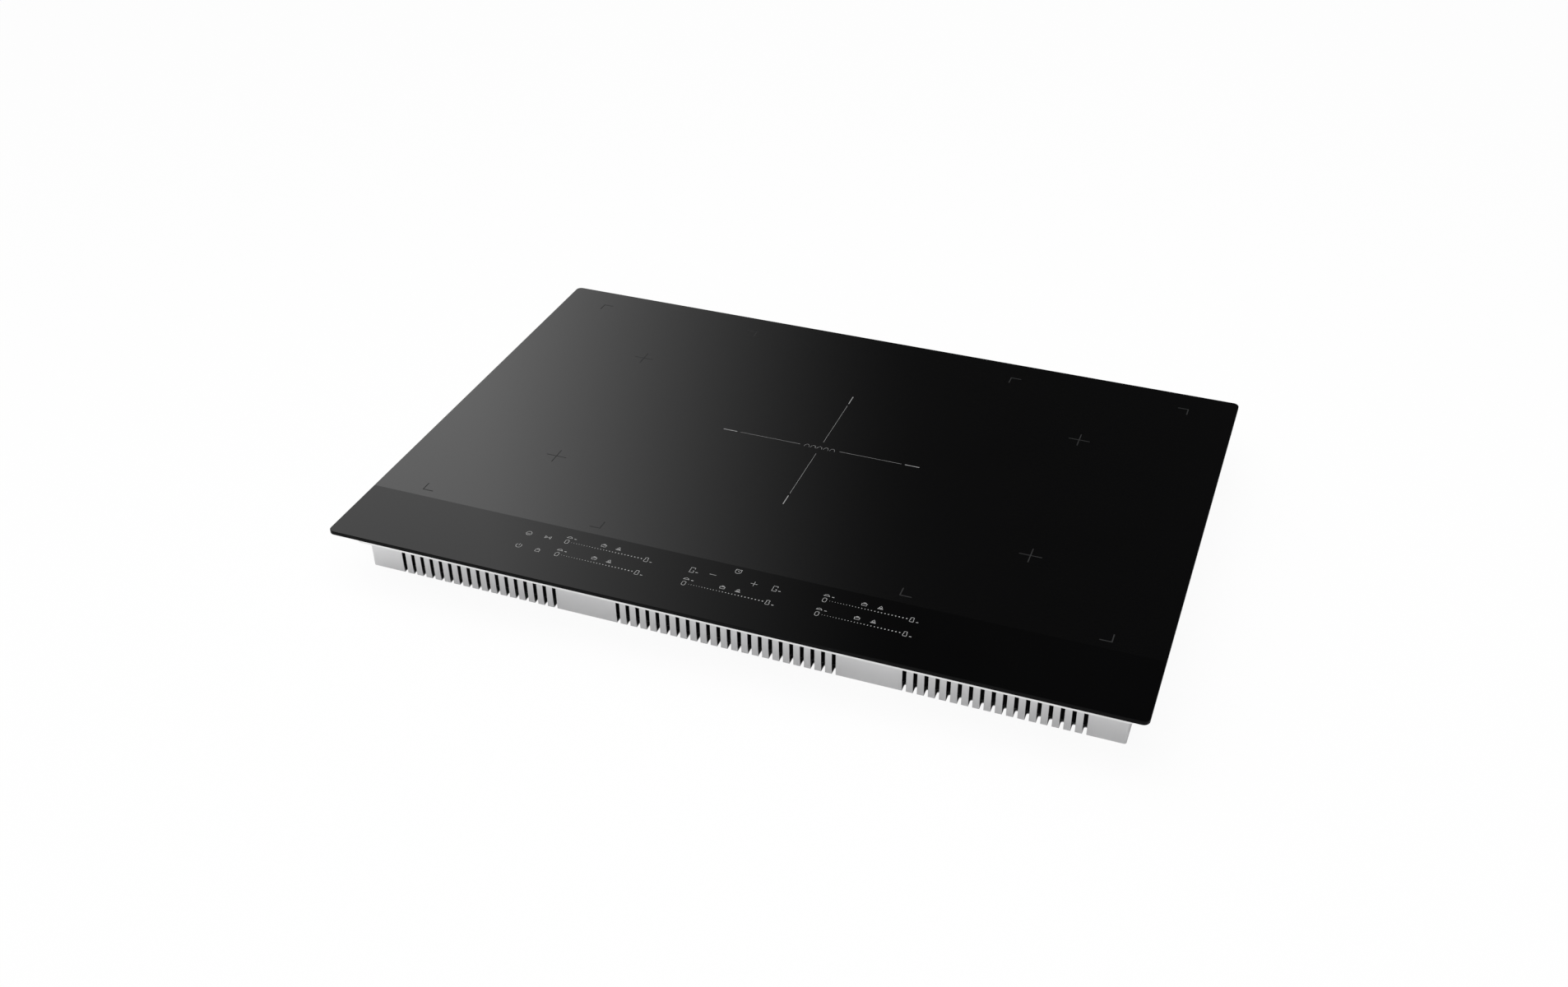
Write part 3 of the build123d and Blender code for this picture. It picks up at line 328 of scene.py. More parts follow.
SLOT_FINISHES = {
    "black_glass": BLACK_GLASS,
    "seal_foam": Finish(
        "seal_foam", (0.05, 0.05, 0.052), 0.2, 8 * MM, (0.85, 0.95), 0.5 * MM, 0.15 * MM,
        pattern=Pattern(Motif.CELLS, (0.02, 0.02, 0.021), 0.9 * MM, 0.2 * MM),
    ),
    "black_silicone": Finish(
        "black_silicone", (0.02, 0.02, 0.021), 0.15, 10 * MM, (0.4, 0.55), 1 * MM, 0.02 * MM
    ),
    "mica_mat": Finish(
        "mica_mat", (0.6, 0.55, 0.45), 0.15, 12 * MM, (0.6, 0.75), 1.5 * MM, 0.05 * MM,
        pattern=Pattern(Motif.CELLS, (0.72, 0.68, 0.6), 5 * MM, 0.03 * MM),
    ),
    "tray_sheet": Finish(
        "tray_sheet", (0.83, 0.83, 0.83), 0.03, 40 * MM, (0.3, 0.42), 0.25 * MM, 0.004 * MM,
        Grain.ALONG_X, 1.0,
    ),
    "pan_sheet": Finish(
        "pan_sheet", (0.76, 0.76, 0.765), 0.015, 60 * MM, (0.29, 0.36), 0.25 * MM, 0.004 * MM,
        Grain.ALONG_X, 1.0,
    ),
    "screw_steel": Finish(
        "screw_steel", (0.6, 0.6, 0.61), 0.08, 3 * MM, (0.25, 0.4), 0.3 * MM, 0.005 * MM, metallic=1.0
    ),
    "black_plastic": Finish(
        "black_plastic", (0.028, 0.028, 0.03), 0.12, 12 * MM, (0.5, 0.62), 0.6 * MM, 0.03 * MM
    ),
    "motor_steel": Finish(
        "motor_steel", (0.4, 0.4, 0.41), 0.1, 4 * MM, (0.35, 0.5), 0.4 * MM, 0.01 * MM, metallic=1.0,
        pattern=Pattern(Motif.BANDS_Z, (0.16, 0.16, 0.165), 0.5 * MM, 0.03 * MM),
    ),
    "circuit_board": Finish(
        "circuit_board", (0.015, 0.12, 0.045), 0.12, 15 * MM, (0.3, 0.42), 0.8 * MM, 0.01 * MM,
        pattern=Pattern(Motif.TRACKS, (0.04, 0.22, 0.09), 7 * MM, 0.03 * MM),
    ),
    "heatsink_aluminium": Finish(
        "heatsink_aluminium", (0.72, 0.72, 0.73), 0.05, 20 * MM, (0.28, 0.42), 0.3 * MM, 0.008 * MM,
        Grain.ALONG_Y, 1.0,
    ),
    "grey_capacitor": Finish(
        "grey_capacitor", (0.28, 0.29, 0.31), 0.08, 10 * MM, (0.35, 0.45), 0.8 * MM, 0.02 * MM
    ),
    "choke_core": Finish(
        "choke_core", (0.03, 0.09, 0.045), 0.15, 6 * MM, (0.3, 0.45), 0.5 * MM, 0.02 * MM
    ),
    "yellow_capacitor": Finish(
        "yellow_capacitor", (0.72, 0.5, 0.06), 0.06, 10 * MM, (0.25, 0.35), 0.8 * MM, 0.015 * MM
    ),
    "white_nylon": Finish(
        "white_nylon", (0.74, 0.73, 0.68), 0.05, 8 * MM, (0.45, 0.55), 0.7 * MM, 0.02 * MM
    ),
    "black_rubber": Finish(
        "black_rubber", (0.016, 0.016, 0.017), 0.2, 8 * MM, (0.65, 0.8), 0.5 * MM, 0.04 * MM
    ),
    "terminal_brass": Finish(
        "terminal_brass", (0.76, 0.56, 0.22), 0.1, 3 * MM, (0.25, 0.4), 0.3 * MM, 0.006 * MM, metallic=1.0
    ),
    "grey_cable": Finish(
        "grey_cable", (0.4, 0.4, 0.41), 0.06, 10 * MM, (0.4, 0.5), 0.5 * MM, 0.01 * MM,
        pattern=Pattern(Motif.BANDS_X, (0.22, 0.22, 0.23), 1.27 * MM, 0.15 * MM),
    ),
    "copper_litz": Finish(
        "copper_litz", (0.72, 0.3, 0.13), 0.15, 2 * MM, (0.28, 0.42), 0.25 * MM, 0.02 * MM, metallic=1.0
    ),
    "carrier_plastic": Finish(
        "carrier_plastic", (0.14, 0.14, 0.15), 0.1, 14 * MM, (0.5, 0.62), 0.7 * MM, 0.03 * MM
    ),
    "ferrite": Finish(
        "ferrite", (0.05, 0.05, 0.055), 0.25, 2 * MM, (0.4, 0.6), 0.3 * MM, 0.02 * MM
    ),
    "sensor_ceramic": Finish(
        "sensor_ceramic", (0.74, 0.73, 0.68), 0.06, 3 * MM, (0.4, 0.5), 0.3 * MM, 0.01 * MM
    ),
}


def link(piece: bpy.types.Object) -> bpy.types.Object:
    """Put an object in the scene and return it."""
    bpy.context.scene.collection.objects.link(piece)
    return piece


def add_piece(name: str, mesh: bpy.types.Mesh, body: str = CASE) -> bpy.types.Object:
    """Add a finished mesh as a piece that rides on a CAD body.

    Args:
        name: the piece's name.
        mesh: its mesh, in the CAD frame.
        body: the CAD body that it moves with.

    Returns:
        The new piece.
    """
    mesh.name = name
    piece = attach(link(bpy.data.objects.new(name, mesh)), body)
    LOG.info("%s: %d faces, rides on %s", name, len(mesh.polygons), body)
    return piece


def replace_node(
    name: str, mesh: bpy.types.Mesh, node: str, body: str = CASE
) -> bpy.types.Object:
    """Add a finished mesh as a piece that takes a CAD node's place.

    Args:
        name: the piece's name.
        mesh: its mesh, in the CAD frame.
        node: the CAD node that it replaces.
        body: the CAD body that it moves with.

    Returns:
        The new piece.
    """
    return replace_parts(add_piece(name, mesh, body), node)


def dressed_mesh(name: str, work: bmesh.types.BMesh, *finishes: Finish) -> bpy.types.Mesh:
    """Return a shape as a mesh with its finishes, and free the shape.

    Args:
        name: the mesh's name.
        work: the shape.
        finishes: the finishes of its material slots, in order.

    Returns:
        The new mesh.
    """
    mesh = bpy.data.meshes.new(name)
    work.to_mesh(mesh)
    work.free()
    for finish in finishes:
        mesh.materials.append(finish.material())
    return mesh


def loft(
    work: bmesh.types.BMesh,
    rings: Sequence[list[bmesh.types.BMVert]],
    closed: bool = False,
    smooth: bool = False,
) -> None:
    """Join rings of vertices, one after the other, into a bar.

    Args:
        work: the shape that the rings belong to.
        rings: the rings, each with the same number of vertices.
        closed: whether the last ring joins the first, where the two ends are filled otherwise.
        smooth: whether the sides are shaded as one curved surface.
    """
    spans = list(zip(rings, rings[1:]))
    if closed:
        spans.append((rings[-1], rings[0]))
    else:
        work.faces.new(rings[0])
        work.faces.new(rings[-1][::-1])
    for first, second in spans:
        for i in range(len(first)):
            work.faces.new((first[i - 1], first[i], second[i], second[i - 1])).smooth = smooth


def turned(outline: Sequence[Point], steps: int, closed: bool) -> bmesh.types.BMesh:
    """Turn an outline once round the Z axis.

    Args:
        outline: radii and heights.
        steps: the number of sides that the turned shape gets.
        closed: whether the outline runs back to its first point.

    Returns:
        The closed shape.
    """
    work = bmesh.new()
    line = [work.verts.new((radius, 0.0, height)) for radius, height in outline]
    ends = line[1:] + line[:1] if closed else line[1:]
    edges = [work.edges.new(pair) for pair in zip(line, ends)]
    bmesh.ops.spin(
        work, geom=line + edges, cent=(0, 0, 0), axis=(0, 0, 1), angle=2 * pi, steps=steps, use_merge=True
    )
    bmesh.ops.remove_doubles(work, verts=work.verts, dist=MERGE)
    bmesh.ops.recalc_face_normals(work, faces=work.faces)
    return work


def rails(points: Sequence[Point], width: float, closed: bool) -> list[tuple[Vector, Vector]]:
    """Return the left and right edge of a stroke at each of its points, with mitred corners.

    Args:
        points: the stroke's middle line.
        width: its width.
        closed: whether the last point runs on to the first.

    Returns:
        A pair of edge points for each point of the line.
    """
    line = [Vector(point) for point in points]
    edges = []
    for i, here in enumerate(line):
        before = line[i - 1] if closed or i else here
        after = line[(i + 1) % len(line)] if closed or i + 1 < len(line) else here
        ways = [step.normalized() for step in (here - before, after - here) if step.length > 0]
        sides = [Vector((-way.y, way.x)) for way in ways]
        mitre = sum(sides, Vector((0.0, 0.0))).normalized()
        reach = mitre * (width / 2 / mitre.dot(sides[0]))
        edges.append((here + reach, here - reach))
    return edges


class Pen:
    """Draws print on a level surface, as one thin closed plate for each stroke or filled figure."""

    def __init__(self, level: float, thickness: float, nib: float) -> None:
        """Start a sheet of print.

        Args:
            level: the height of the print's underside.
            thickness: the thickness of the print.
            nib: the width of a stroke that states none.
        """
        self.level = level
        self.thickness = thickness
        self.nib = nib
        self.origin = Vector((0.0, 0.0))
        self.scale = 1.0
        self.plates = bmesh.new()

    def move(self, x: float, y: float, scale: float = 1.0) -> "Pen":
        """Set the place of the next figures.

        Args:
            x: the X of their own origin.
            y: the Y of their own origin.
            scale: the length of their own unit.

        Returns:
            The pen.
        """
        self.origin = Vector((x, y))
        self.scale = scale
        return self

    def _vertex(self, point: Vector, high: bool) -> bmesh.types.BMVert:
        """Add a vertex at a point of the plan, on the print's upper or under side."""
        return self.plates.verts.new((point.x, point.y, self.level + high * self.thickness))

    def _put(self, point: Point) -> Vector:
        """Return a figure's point in the plan of the whole object."""
        return self.origin + Vector(point) * self.scale

    def fill(self, outline: Sequence[Point]) -> None:
        """Fill a closed outline.

        Args:
            outline: the corners of the figure, counter-clockwise or clockwise.
        """
        points = [self._put(point) for point in outline]
        low = [self._vertex(point, False) for point in points]
        high = [self._vertex(point, True) for point in points]
        self.plates.faces.new(high)
        self.plates.faces.new(low[::-1])
        for i in range(len(points)):
            self.plates.faces.new((low[i - 1], low[i], high[i], high[i - 1]))

    def stroke(self, points: Sequence[Point], closed: bool = False, nib: float | None = None) -> None:
        """Draw a line of straight runs.

        Args:
            points: the ends and corners of the line.
            closed: whether it runs back to its first point.
            nib: the width of the line.
        """
        placed = [self._put(point) for point in points]
        rings = []
        for left, right in rails(placed, nib or self.nib, closed):
            corners = ((left, False), (right, False), (right, True), (left, True))
            rings.append([self._vertex(point, high) for point, high in corners])
        loft(self.plates, rings, closed)

    def arc(self, centre: Point, radius: float, start: float, sweep: float, steps: int = 20) -> None:
        """Draw part of a circle.

        Args:
            centre: the circle's middle.
            radius: its radius.
            start: the angle of its first end, in degrees from +X.
            sweep: the angle that it covers, 360 for a whole circle.
            steps: the number of straight runs.
        """
        whole = sweep == 360
        angles = [radians(start + sweep * i / steps) for i in range(steps + (not whole))]
        self.stroke([(centre[0] + radius * cos(a), centre[1] + radius * sin(a)) for a in angles], whole)

    def box(self, centre: Point, width: float, height: float, corner: float = 0.0) -> None:
        """Draw the outline of a rectangle, with its corners rounded where corner is not 0."""
        self.stroke(rounded_box(centre, width, height, corner), True)

    def block(self, low: Point, high: Point) -> None:
        """Fill the upright rectangle between two corners."""
        self.fill([low, (high[0], low[1]), high, (low[0], high[1])])

    def mesh(self, name: str, finish: Finish) -> bpy.types.Mesh:
        """End the sheet and return it as a mesh in that finish."""
        bmesh.ops.recalc_face_normals(self.plates, faces=self.plates.faces)
        return dressed_mesh(name, self.plates, finish)

    def piece(self, name: str, finish: Finish) -> bpy.types.Object:
        """End the sheet and return it as a piece of the case.

        Args:
            name: the piece's name.
            finish: what it is printed in.

        Returns:
            The new piece.
        """
        return add_piece(name, self.mesh(name, finish))


def rounded_box(centre: Point, width: float, height: float, corner: float, steps: int = 4) -> list[Point]:
    """Return the outline of a rectangle.

    Args:
        centre: its middle.
        width: its size along X.
        height: its size along Y.
        corner: the radius of its corners, 0 for sharp ones.
        steps: the number of straight runs in a corner.

    Returns:
        The outline's points, counter-clockwise.
    """
    outline = []
    for i, (side, end) in enumerate(((1, 1), (-1, 1), (-1, -1), (1, -1))):
        x = centre[0] + side * (width / 2 - corner)
        y = centre[1] + end * (height / 2 - corner)
        if corner == 0:
            outline.append((x, y))
            continue
        angles = [pi / 2 * (i + j / steps) for j in range(steps + 1)]
        outline += [(x + corner * cos(a), y + corner * sin(a)) for a in angles]
    return outline


class Recipe(Graph):
    """A Geometry Nodes tree with named inputs, which is run to give plain meshes."""

    def __init__(self, name: str) -> None:
        """Start a tree that takes and gives a geometry.

        Args:
            name: the tree's name.
        """
        super().__init__(bpy.data.node_groups.new(name, "GeometryNodeTree"))
        self.tree.interface.new_socket("Geometry", in_out="INPUT", socket_type="NodeSocketGeometry")
        self.tree.interface.new_socket("Geometry", in_out="OUTPUT", socket_type="NodeSocketGeometry")
        self.source = self.tree.nodes.new("NodeGroupInput")
        self.result = self.tree.nodes.new("NodeGroupOutput")
        self.keys: dict[str, str] = {}

    def size(self, name: str, kind: str = "Float") -> Socket:
        """Add a named input and return its socket.

        Args:
            name: the input's name.
            kind: Blender's name for the type of value.

        Returns:
            The socket that gives the value.
        """
        made = self.tree.interface.new_socket(name, in_out="INPUT", socket_type=f"NodeSocket{kind}")
        self.keys[name] = made.identifier
        return self.source.outputs[name]

    def vector(self, x: Socket | float, y: Socket | float, z: Socket | float) -> Socket:
        """Return a vector made of three numbers."""
        return self.add("ShaderNodeCombineXYZ", {0: x, 1: y, 2: z}).outputs[0]

    def close(self, geometry: Socket, smooth: bool) -> None:
        """End the tree: place the geometry, make it real and give it its material.

        Args:
            geometry: what the tree has made.
            smooth: whether its faces are shaded as one curved surface.
        """
        sockets = {"Geometry": geometry, "Translation": self.size("Place", "Vector")}
        placed = self.add("GeometryNodeTransform", sockets).outputs[0]
        real = self.add("GeometryNodeRealizeInstances", {"Geometry": placed}).outputs[0]
        shaded = self.add("GeometryNodeSetShadeSmooth", {"Geometry": real, "Shade Smooth": smooth}).outputs[0]
        sockets = {"Geometry": shaded, "Material": self.size("Material", "Material")}
        dressed = self.add("GeometryNodeSetMaterial", sockets).outputs[0]
        self.tree.links.new(dressed, self.result.inputs[0])

    def run(self, sizes: dict[str, object], points: Sequence[Vector] = ()) -> bpy.types.Mesh:
        """Run the tree once.

        Args:
            sizes: a value for each named input.
            points: the points that the tree is given as its geometry.

        Returns:
            The finished mesh.
        """
        seed = bpy.data.meshes.new("seed")
        seed.from_pydata([tuple(point) for point in points], [], [])
        holder = link(bpy.data.objects.new("holder", seed))
        modifier = holder.modifiers.new("recipe", "NODES")
        modifier.node_group = self.tree
        for name, value in sizes.items():
            modifier[self.keys[name]] = value
        depsgraph = bpy.context.evaluated_depsgraph_get()
        mesh = bpy.data.meshes.new_from_object(holder.evaluated_get(depsgraph))
        bpy.data.objects.remove(holder)
        bpy.data.meshes.remove(seed)
        return mesh


def node_middle(node: str) -> tuple[float, float, float]:
    """Return the middle of a CAD node's box."""
    low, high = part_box(node)
    return tuple((low + high) / 2)


def plan_middles(boxes: Sequence[tuple[Vector, Vector]]) -> list[Vector]:
    """Return the middle of each box in plan, at height 0."""
    return [Vector(((low.x + high.x) / 2, (low.y + high.y) / 2, 0.0)) for low, high in boxes]


def islands(node: str) -> list[tuple[Vector, Vector]]:
    """Find the separate solids of a CAD node.

    Args:
        node: the CAD node.

    Returns:
        The lowest and the highest corner of each solid.
    """
    work = bmesh.new()
    work.from_mesh(frame["nodes"][node].data)
    bmesh.ops.remove_doubles(work, verts=work.verts, dist=MERGE)
    left = set(work.verts)
    boxes = []
    while left:
        group = []
        front = [left.pop()]
        while front:
            here = front.pop()
            group.append(here.co.copy())
            beside = [edge.other_vert(here) for edge in here.link_edges]
            fresh = [vertex for vertex in beside if vertex in left]
            left.difference_update(fresh)
            front += fresh
        columns = list(zip(*group))
        boxes.append((Vector(map(min, columns)), Vector(map(max, columns))))
    work.free()
    return boxes


@dataclass
class GlassPrint:
    """The print on the glass: corner brackets, zone crosses and the gloss layer of the control band.

    Attributes:
        film: the thickness of the control band's gloss layer.
        ink: the thickness of the marks.
        lift: the gap under each printed layer.
        arris: how far the ground edge reaches in from the glass's outline.
        corner: the radius of the control band's front corners.
        corner_steps: the straight runs in such a corner.
        band_depth: the control band's depth, from the front of the glass.
        bracket_x: the inner and outer edge of a side zone's brackets.
        bracket_y: their front and rear edge.
        bracket_arm: the length of a bracket's arms.
        bracket_nib: the width of its line.
        cross_arm: the length of an arm of a small cross.
        cross_nib: the width of its line.
        tick: where the ticks at the ends of the centre cross begin and end, from its middle.
        tick_nib: the width of their line.
        thread: where the centre cross's thin lines begin and end along X.
        thread_start_y: where they begin along Y.
        thread_nib: their width.
        loop_count: the number of coil loops in the middle of the centre cross.
        loop_pitch: the distance from one loop to the next.
        loop_size: a loop's width and height.
        loop_steps: the straight runs in a loop.
    """

    film: float = 0.006 * MM
    ink: float = 0.012 * MM
    lift: float = 0.004 * MM
    arris: float = 0.5 * MM
    corner: float = 5.5 * MM
    corner_steps: int = 6
    band_depth: float = 80.0 * MM
    bracket_x: tuple[float, float] = (146.5 * MM, 337.0 * MM)
    bracket_y: tuple[float, float] = (-170.5 * MM, 231.0 * MM)
    bracket_arm: float = 10.8 * MM
    bracket_nib: float = 1.1 * MM
    cross_arm: float = 10.8 * MM
    cross_nib: float = 1.0 * MM
    tick: tuple[float, float] = (89.5 * MM, 104.5 * MM)
    tick_nib: float = 0.8 * MM
    thread: tuple[float, float] = (21.0 * MM, 86.0 * MM)
    thread_start_y: float = 11.0 * MM
    thread_nib: float = 0.28 * MM
    loop_count: int = 5
    loop_pitch: float = 6.8 * MM
    loop_size: Point = (5.0 * MM, 4.4 * MM)
    loop_steps: int = 16

    def __post_init__(self) -> None:
        """Take the glass's place from the frame."""
        self.low, self.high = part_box("glass_top")
        self.top = self.high.z

    def band(self) -> None:
        """Lay the control band's gloss layer along the front of the glass."""
        front = self.low.y + self.arris
        rear = self.low.y + self.band_depth
        side = self.high.x - self.arris
        turns = [pi / 2 * i / self.corner_steps for i in range(self.corner_steps + 1)]
        left = [(-side + self.corner * (1 - sin(a)), front + self.corner * (1 - cos(a))) for a in turns]
        right = [(-x, y) for x, y in reversed(left)]
        pen = Pen(self.top + self.lift, self.film, self.film)
        pen.fill([(side, rear), (-side, rear), *reversed(left), *reversed(right)])
        pen.piece("control_band", BAND_GLOSS)

    def zone_marks(self) -> None:
        """Print the corner brackets of the two side zones and the crosses of their coils."""
        pen = Pen(self.top + self.lift, self.ink, self.bracket_nib)
        inset = self.bracket_nib / 2
        for side in (-1, 1):
            for x, inward in zip(self.bracket_x, (1, -1)):
                for y, back in zip(self.bracket_y, (1, -1)):
                    pen.move(side * (x + inward * inset), y + back * inset)
                    pen.stroke([(side * inward * self.bracket_arm, 0), (0, 0), (0, back * self.bracket_arm)])
        for zone in ZONES:
            if zone != "centre":
                x, y, _ = node_middle(f"{zone}_sensor")
                pen.move(x, y)
                plus(pen, self.cross_arm, self.cross_nib)
        pen.piece("zone_marks", ZONE_PRINT)

    def centre_mark(self) -> None:
        """Print the large cross of the centre zone, with a row of coil loops in its middle."""
        x, y, _ = node_middle("centre_sensor")
        pen = Pen(self.top + self.lift, self.ink, self.thread_nib).move(x, y)
        for turn in range(4):
            way = Vector((cos(turn * pi / 2), sin(turn * pi / 2)))
            start = self.thread_start_y if turn % 2 else self.thread[0]
            pen.stroke([way * start, way * self.thread[1]])
            pen.stroke([way * self.tick[0], way * self.tick[1]], nib=self.tick_nib)
        first = -self.loop_pitch * (self.loop_count - 1) / 2
        turns = [pi * i / self.loop_steps for i in range(self.loop_steps + 1)]
        for i in range(self.loop_count):
            middle = first + i * self.loop_pitch
            width, height = self.loop_size
            pen.stroke([(middle + width / 2 * cos(a), height * (sin(a) - 0.5)) for a in turns])
        pen.piece("centre_mark", CROSS_PRINT)


def plus(pen: Pen, arm: float, nib: float) -> None:
    """Fill an upright cross.

    Args:
        pen: the pen, moved to the middle of the cross.
        arm: the length of an arm.
        nib: its width.
    """
    half = nib / 2
    quarter = ((arm, -half), (arm, half), (half, half))
    outline = []
    for turn in range(4):
        spin = Matrix.Rotation(turn * pi / 2, 2)
        outline += [tuple(spin @ Vector(point)) for point in quarter]
    pen.fill(outline)


@dataclass
class TouchKeys:
    """The keys and sliders printed on the control band.

    Attributes:
        level: the height that the keys are printed at.
        ink: the thickness of the print.
        nib: the width of a line.
        key: the height of a key's symbol.
        rear_row: the rear row's place along Y.
        front_row: the front row's place.
        timer_row: the place of the timer's symbol.
        key_columns: the two columns of single keys along X.
        rear_sliders: the left ends of the rear sliders along X.
        front_sliders: the left ends of the front sliders.
        pot_step: the distance from a slider's left end to its pot symbol.
        flame_step: the distance to its flame symbol.
        timer_step: the distance from the timer to its less and more keys.
        zone_key: the distance from the timer to the zone keys beside it.
        dot_count: the number of dots on a slider.
        dot_sides: the number of sides of a dot.
        dot_start: the distance from a slider's left end to its first dot.
        dot_pitch: the distance from the first dot to the next.
        dot_pitch_growth: how much that distance grows from dot to dot.
        dot_size: the first dot's diameter.
        dot_growth: how much the diameter grows from dot to dot.
        scale_end: the distance from a slider's left end to the number at its right end.
    """

    level: float
    ink: float = 0.012 * MM
    nib: float = 0.45 * MM
    key: float = 6.5 * MM
    rear_row: float = -199.5 * MM
    front_row: float = -219.8 * MM
    timer_row: float = -187.5 * MM
    key_columns: tuple[float, float] = (-205.5 * MM, -185.8 * MM)
    rear_sliders: tuple[float, ...] = (-166.3 * MM, 86.8 * MM)
    front_sliders: tuple[float, ...] = (-166.3 * MM, -39.8 * MM, 86.8 * MM)
    pot_step: float = 35.0 * MM
    flame_step: float = 50.0 * MM
    timer_step: float = 20.0 * MM
    zone_key: float = 40.0 * MM
    dot_count: int = 25
    dot_sides: int = 12
    dot_start: float = 4.8 * MM
    dot_pitch: float = 2.5 * MM
    dot_pitch_growth: float = 0.0379 * MM
    dot_size: float = 0.6 * MM
    dot_growth: float = 0.033 * MM
    scale_end: float = 80.6 * MM

    def slider_places(self) -> list[Point]:
        """Return the left end of each slider."""
        rear = [(x, self.rear_row) for x in self.rear_sliders]
        return rear + [(x, self.front_row) for x in self.front_sliders]

    def dots(self) -> None:
        """Print the sliders' dots, which grow from left to right."""
        recipe = Recipe("slider_dots")
        index = recipe.add("GeometryNodeInputIndex").outputs[0]
        sockets = {"Count": recipe.size("Count", "Int"), "Offset": (0, 0, 0)}
        line = recipe.add("GeometryNodeMeshLine", sockets)
        square = recipe.math("MULTIPLY", index, index)
        steady = recipe.math("MULTIPLY", index, recipe.size("First Pitch"))
        growing = recipe.math("MULTIPLY", square, recipe.math("MULTIPLY", recipe.size("Pitch Growth"), 0.5))
        along = recipe.vector(recipe.math("ADD", steady, growing), 0.0, 0.0)
        points = recipe.add("GeometryNodeSetPosition", {"Geometry": line.outputs[0], "Position": along})
        wider = recipe.math("MULTIPLY", index, recipe.size("Size Growth"))
        width = recipe.math("ADD", recipe.size("First Size"), wider)
        sockets = {"Vertices": recipe.size("Sides", "Int"), "Radius": 0.5, "Depth": recipe.size("Ink")}
        dot = recipe.add("GeometryNodeMeshCylinder", sockets).outputs["Mesh"]
        sockets = {"Points": points.outputs[0], "Instance": dot, "Scale": recipe.vector(width, width, 1.0)}
        dots = recipe.add("GeometryNodeInstanceOnPoints", sockets).outputs[0]
        recipe.close(dots, False)
        joined = bmesh.new()
        for x, y in self.slider_places():
            mesh = recipe.run(
                {
                    "Count": self.dot_count,
                    "Sides": self.dot_sides,
                    "First Pitch": self.dot_pitch,
                    "Pitch Growth": self.dot_pitch_growth,
                    "First Size": self.dot_size,
                    "Size Growth": self.dot_growth,
                    "Ink": self.ink,
                    "Place": (x + self.dot_start, y, self.level + self.ink / 2),
                    "Material": ICON_PRINT.material(),
                }
            )
            joined.from_mesh(mesh)
            bpy.data.meshes.remove(mesh)
        add_piece("slider_dots", dressed_mesh("slider_dots", joined, ICON_PRINT))

    def scales(self) -> None:
        """Print the numbers at the ends of the sliders and the small symbols above them."""
        pen = Pen(self.level, self.ink, self.nib)
        for x, y in self.slider_places():
            pen.move(x, y, self.key)
            pen.box((0, 0), 0.52, 0.86, 0.22)
            pen.move(x + self.scale_end, y, self.key)
            pen.box((0, -0.24), 0.54, 0.48, 0.14)
            pen.box((0, 0.22), 0.46, 0.44, 0.14)
            pen.block((0.66, -0.42), (0.98, -0.3))
            pen.move(x, y + self.key, self.key)
            pen.stroke([(-0.4, -0.1), (0.4, -0.1), (0.26, 0.14), (0, 0.24), (-0.26, 0.14)], True)
            pen.block((0.74, -0.16), (1.08, -0.04))
            pen.move(x + self.pot_step, y + self.key, self.key)
            pot(pen)
            pen.move(x + self.flame_step, y + self.key, self.key)
            flame(pen)
        pen.piece("slider_scales", ICON_PRINT)

    def keys(self) -> None:
        """Print the symbols of the single keys."""
        pen = Pen(self.level, self.ink, self.nib)
        first, second = self.key_columns
        pen.move(first, self.rear_row, self.key)
        pen.arc((0, 0), 0.42, 0, 360)
        pen.arc((0, 0), 0.18, 180, 180, 8)
        pen.move(second, self.rear_row, self.key)
        for side in (-1, 1):
            pen.stroke([(side * 0.44, 0.26), (side * 0.44, -0.26), (side * 0.08, 0)], True)
        pen.move(first, self.front_row, self.key)
        pen.arc((0, 0), 0.42, 122, 296)
        pen.stroke([(0, 0.06), (0, 0.5)])
        pen.move(second, self.front_row, self.key)
        pen.box((0, -0.18), 0.62, 0.5)
        pen.arc((0, 0.09), 0.2, 0, 180, 10)
        pen.move(0, self.timer_row, self.key)
        pen.arc((0, 0), 0.44, 0, 360)
        pen.stroke([(0, 0.24), (0, 0), (0.2, 0)])
        for side in (-1, 1):
            pen.stroke([(side * 0.5, 0.3), (side * 0.3, 0.52)])
        pen.move(-self.timer_step, self.rear_row, self.key)
        pen.stroke([(-0.5, 0), (0.5, 0)])
        pen.move(self.timer_step, self.rear_row)
        plus(pen, self.key / 2, self.nib)
        for x in (-self.zone_key, self.zone_key):
            pen.move(x, self.rear_row, self.key)
            upper = [(0.3, 0.26), (0.3, 0.54), (-0.3, 0.54)]
            lower = [(-0.3, -0.54), (0.3, -0.54), (0.3, -0.12), (0.1, -0.12)]
            pen.stroke(upper + lower)
            pen.block((0.6, -0.42), (0.94, -0.3))
        pen.piece("touch_keys", ICON_PRINT)


def pot(pen: Pen) -> None:
    """Draw the symbol of a small pot with a lid."""
    pen.stroke([(-0.32, -0.34), (0.32, -0.34), (0.38, 0.06), (-0.38, 0.06)], True)
    pen.fill([(-0.3, 0.16), (0.3, 0.16), (0.1, 0.3), (-0.1, 0.3)])


def flame(pen: Pen) -> None:
    """Draw the symbol of a flame over a dish."""
    pen.fill([(-0.4, -0.34), (0.4, -0.34), (0.34, -0.2), (-0.34, -0.2)])
    pen.stroke([(-0.22, -0.06), (0.22, -0.06), (0.14, 0.14), (0.02, 0.3), (-0.14, 0.14)], True)


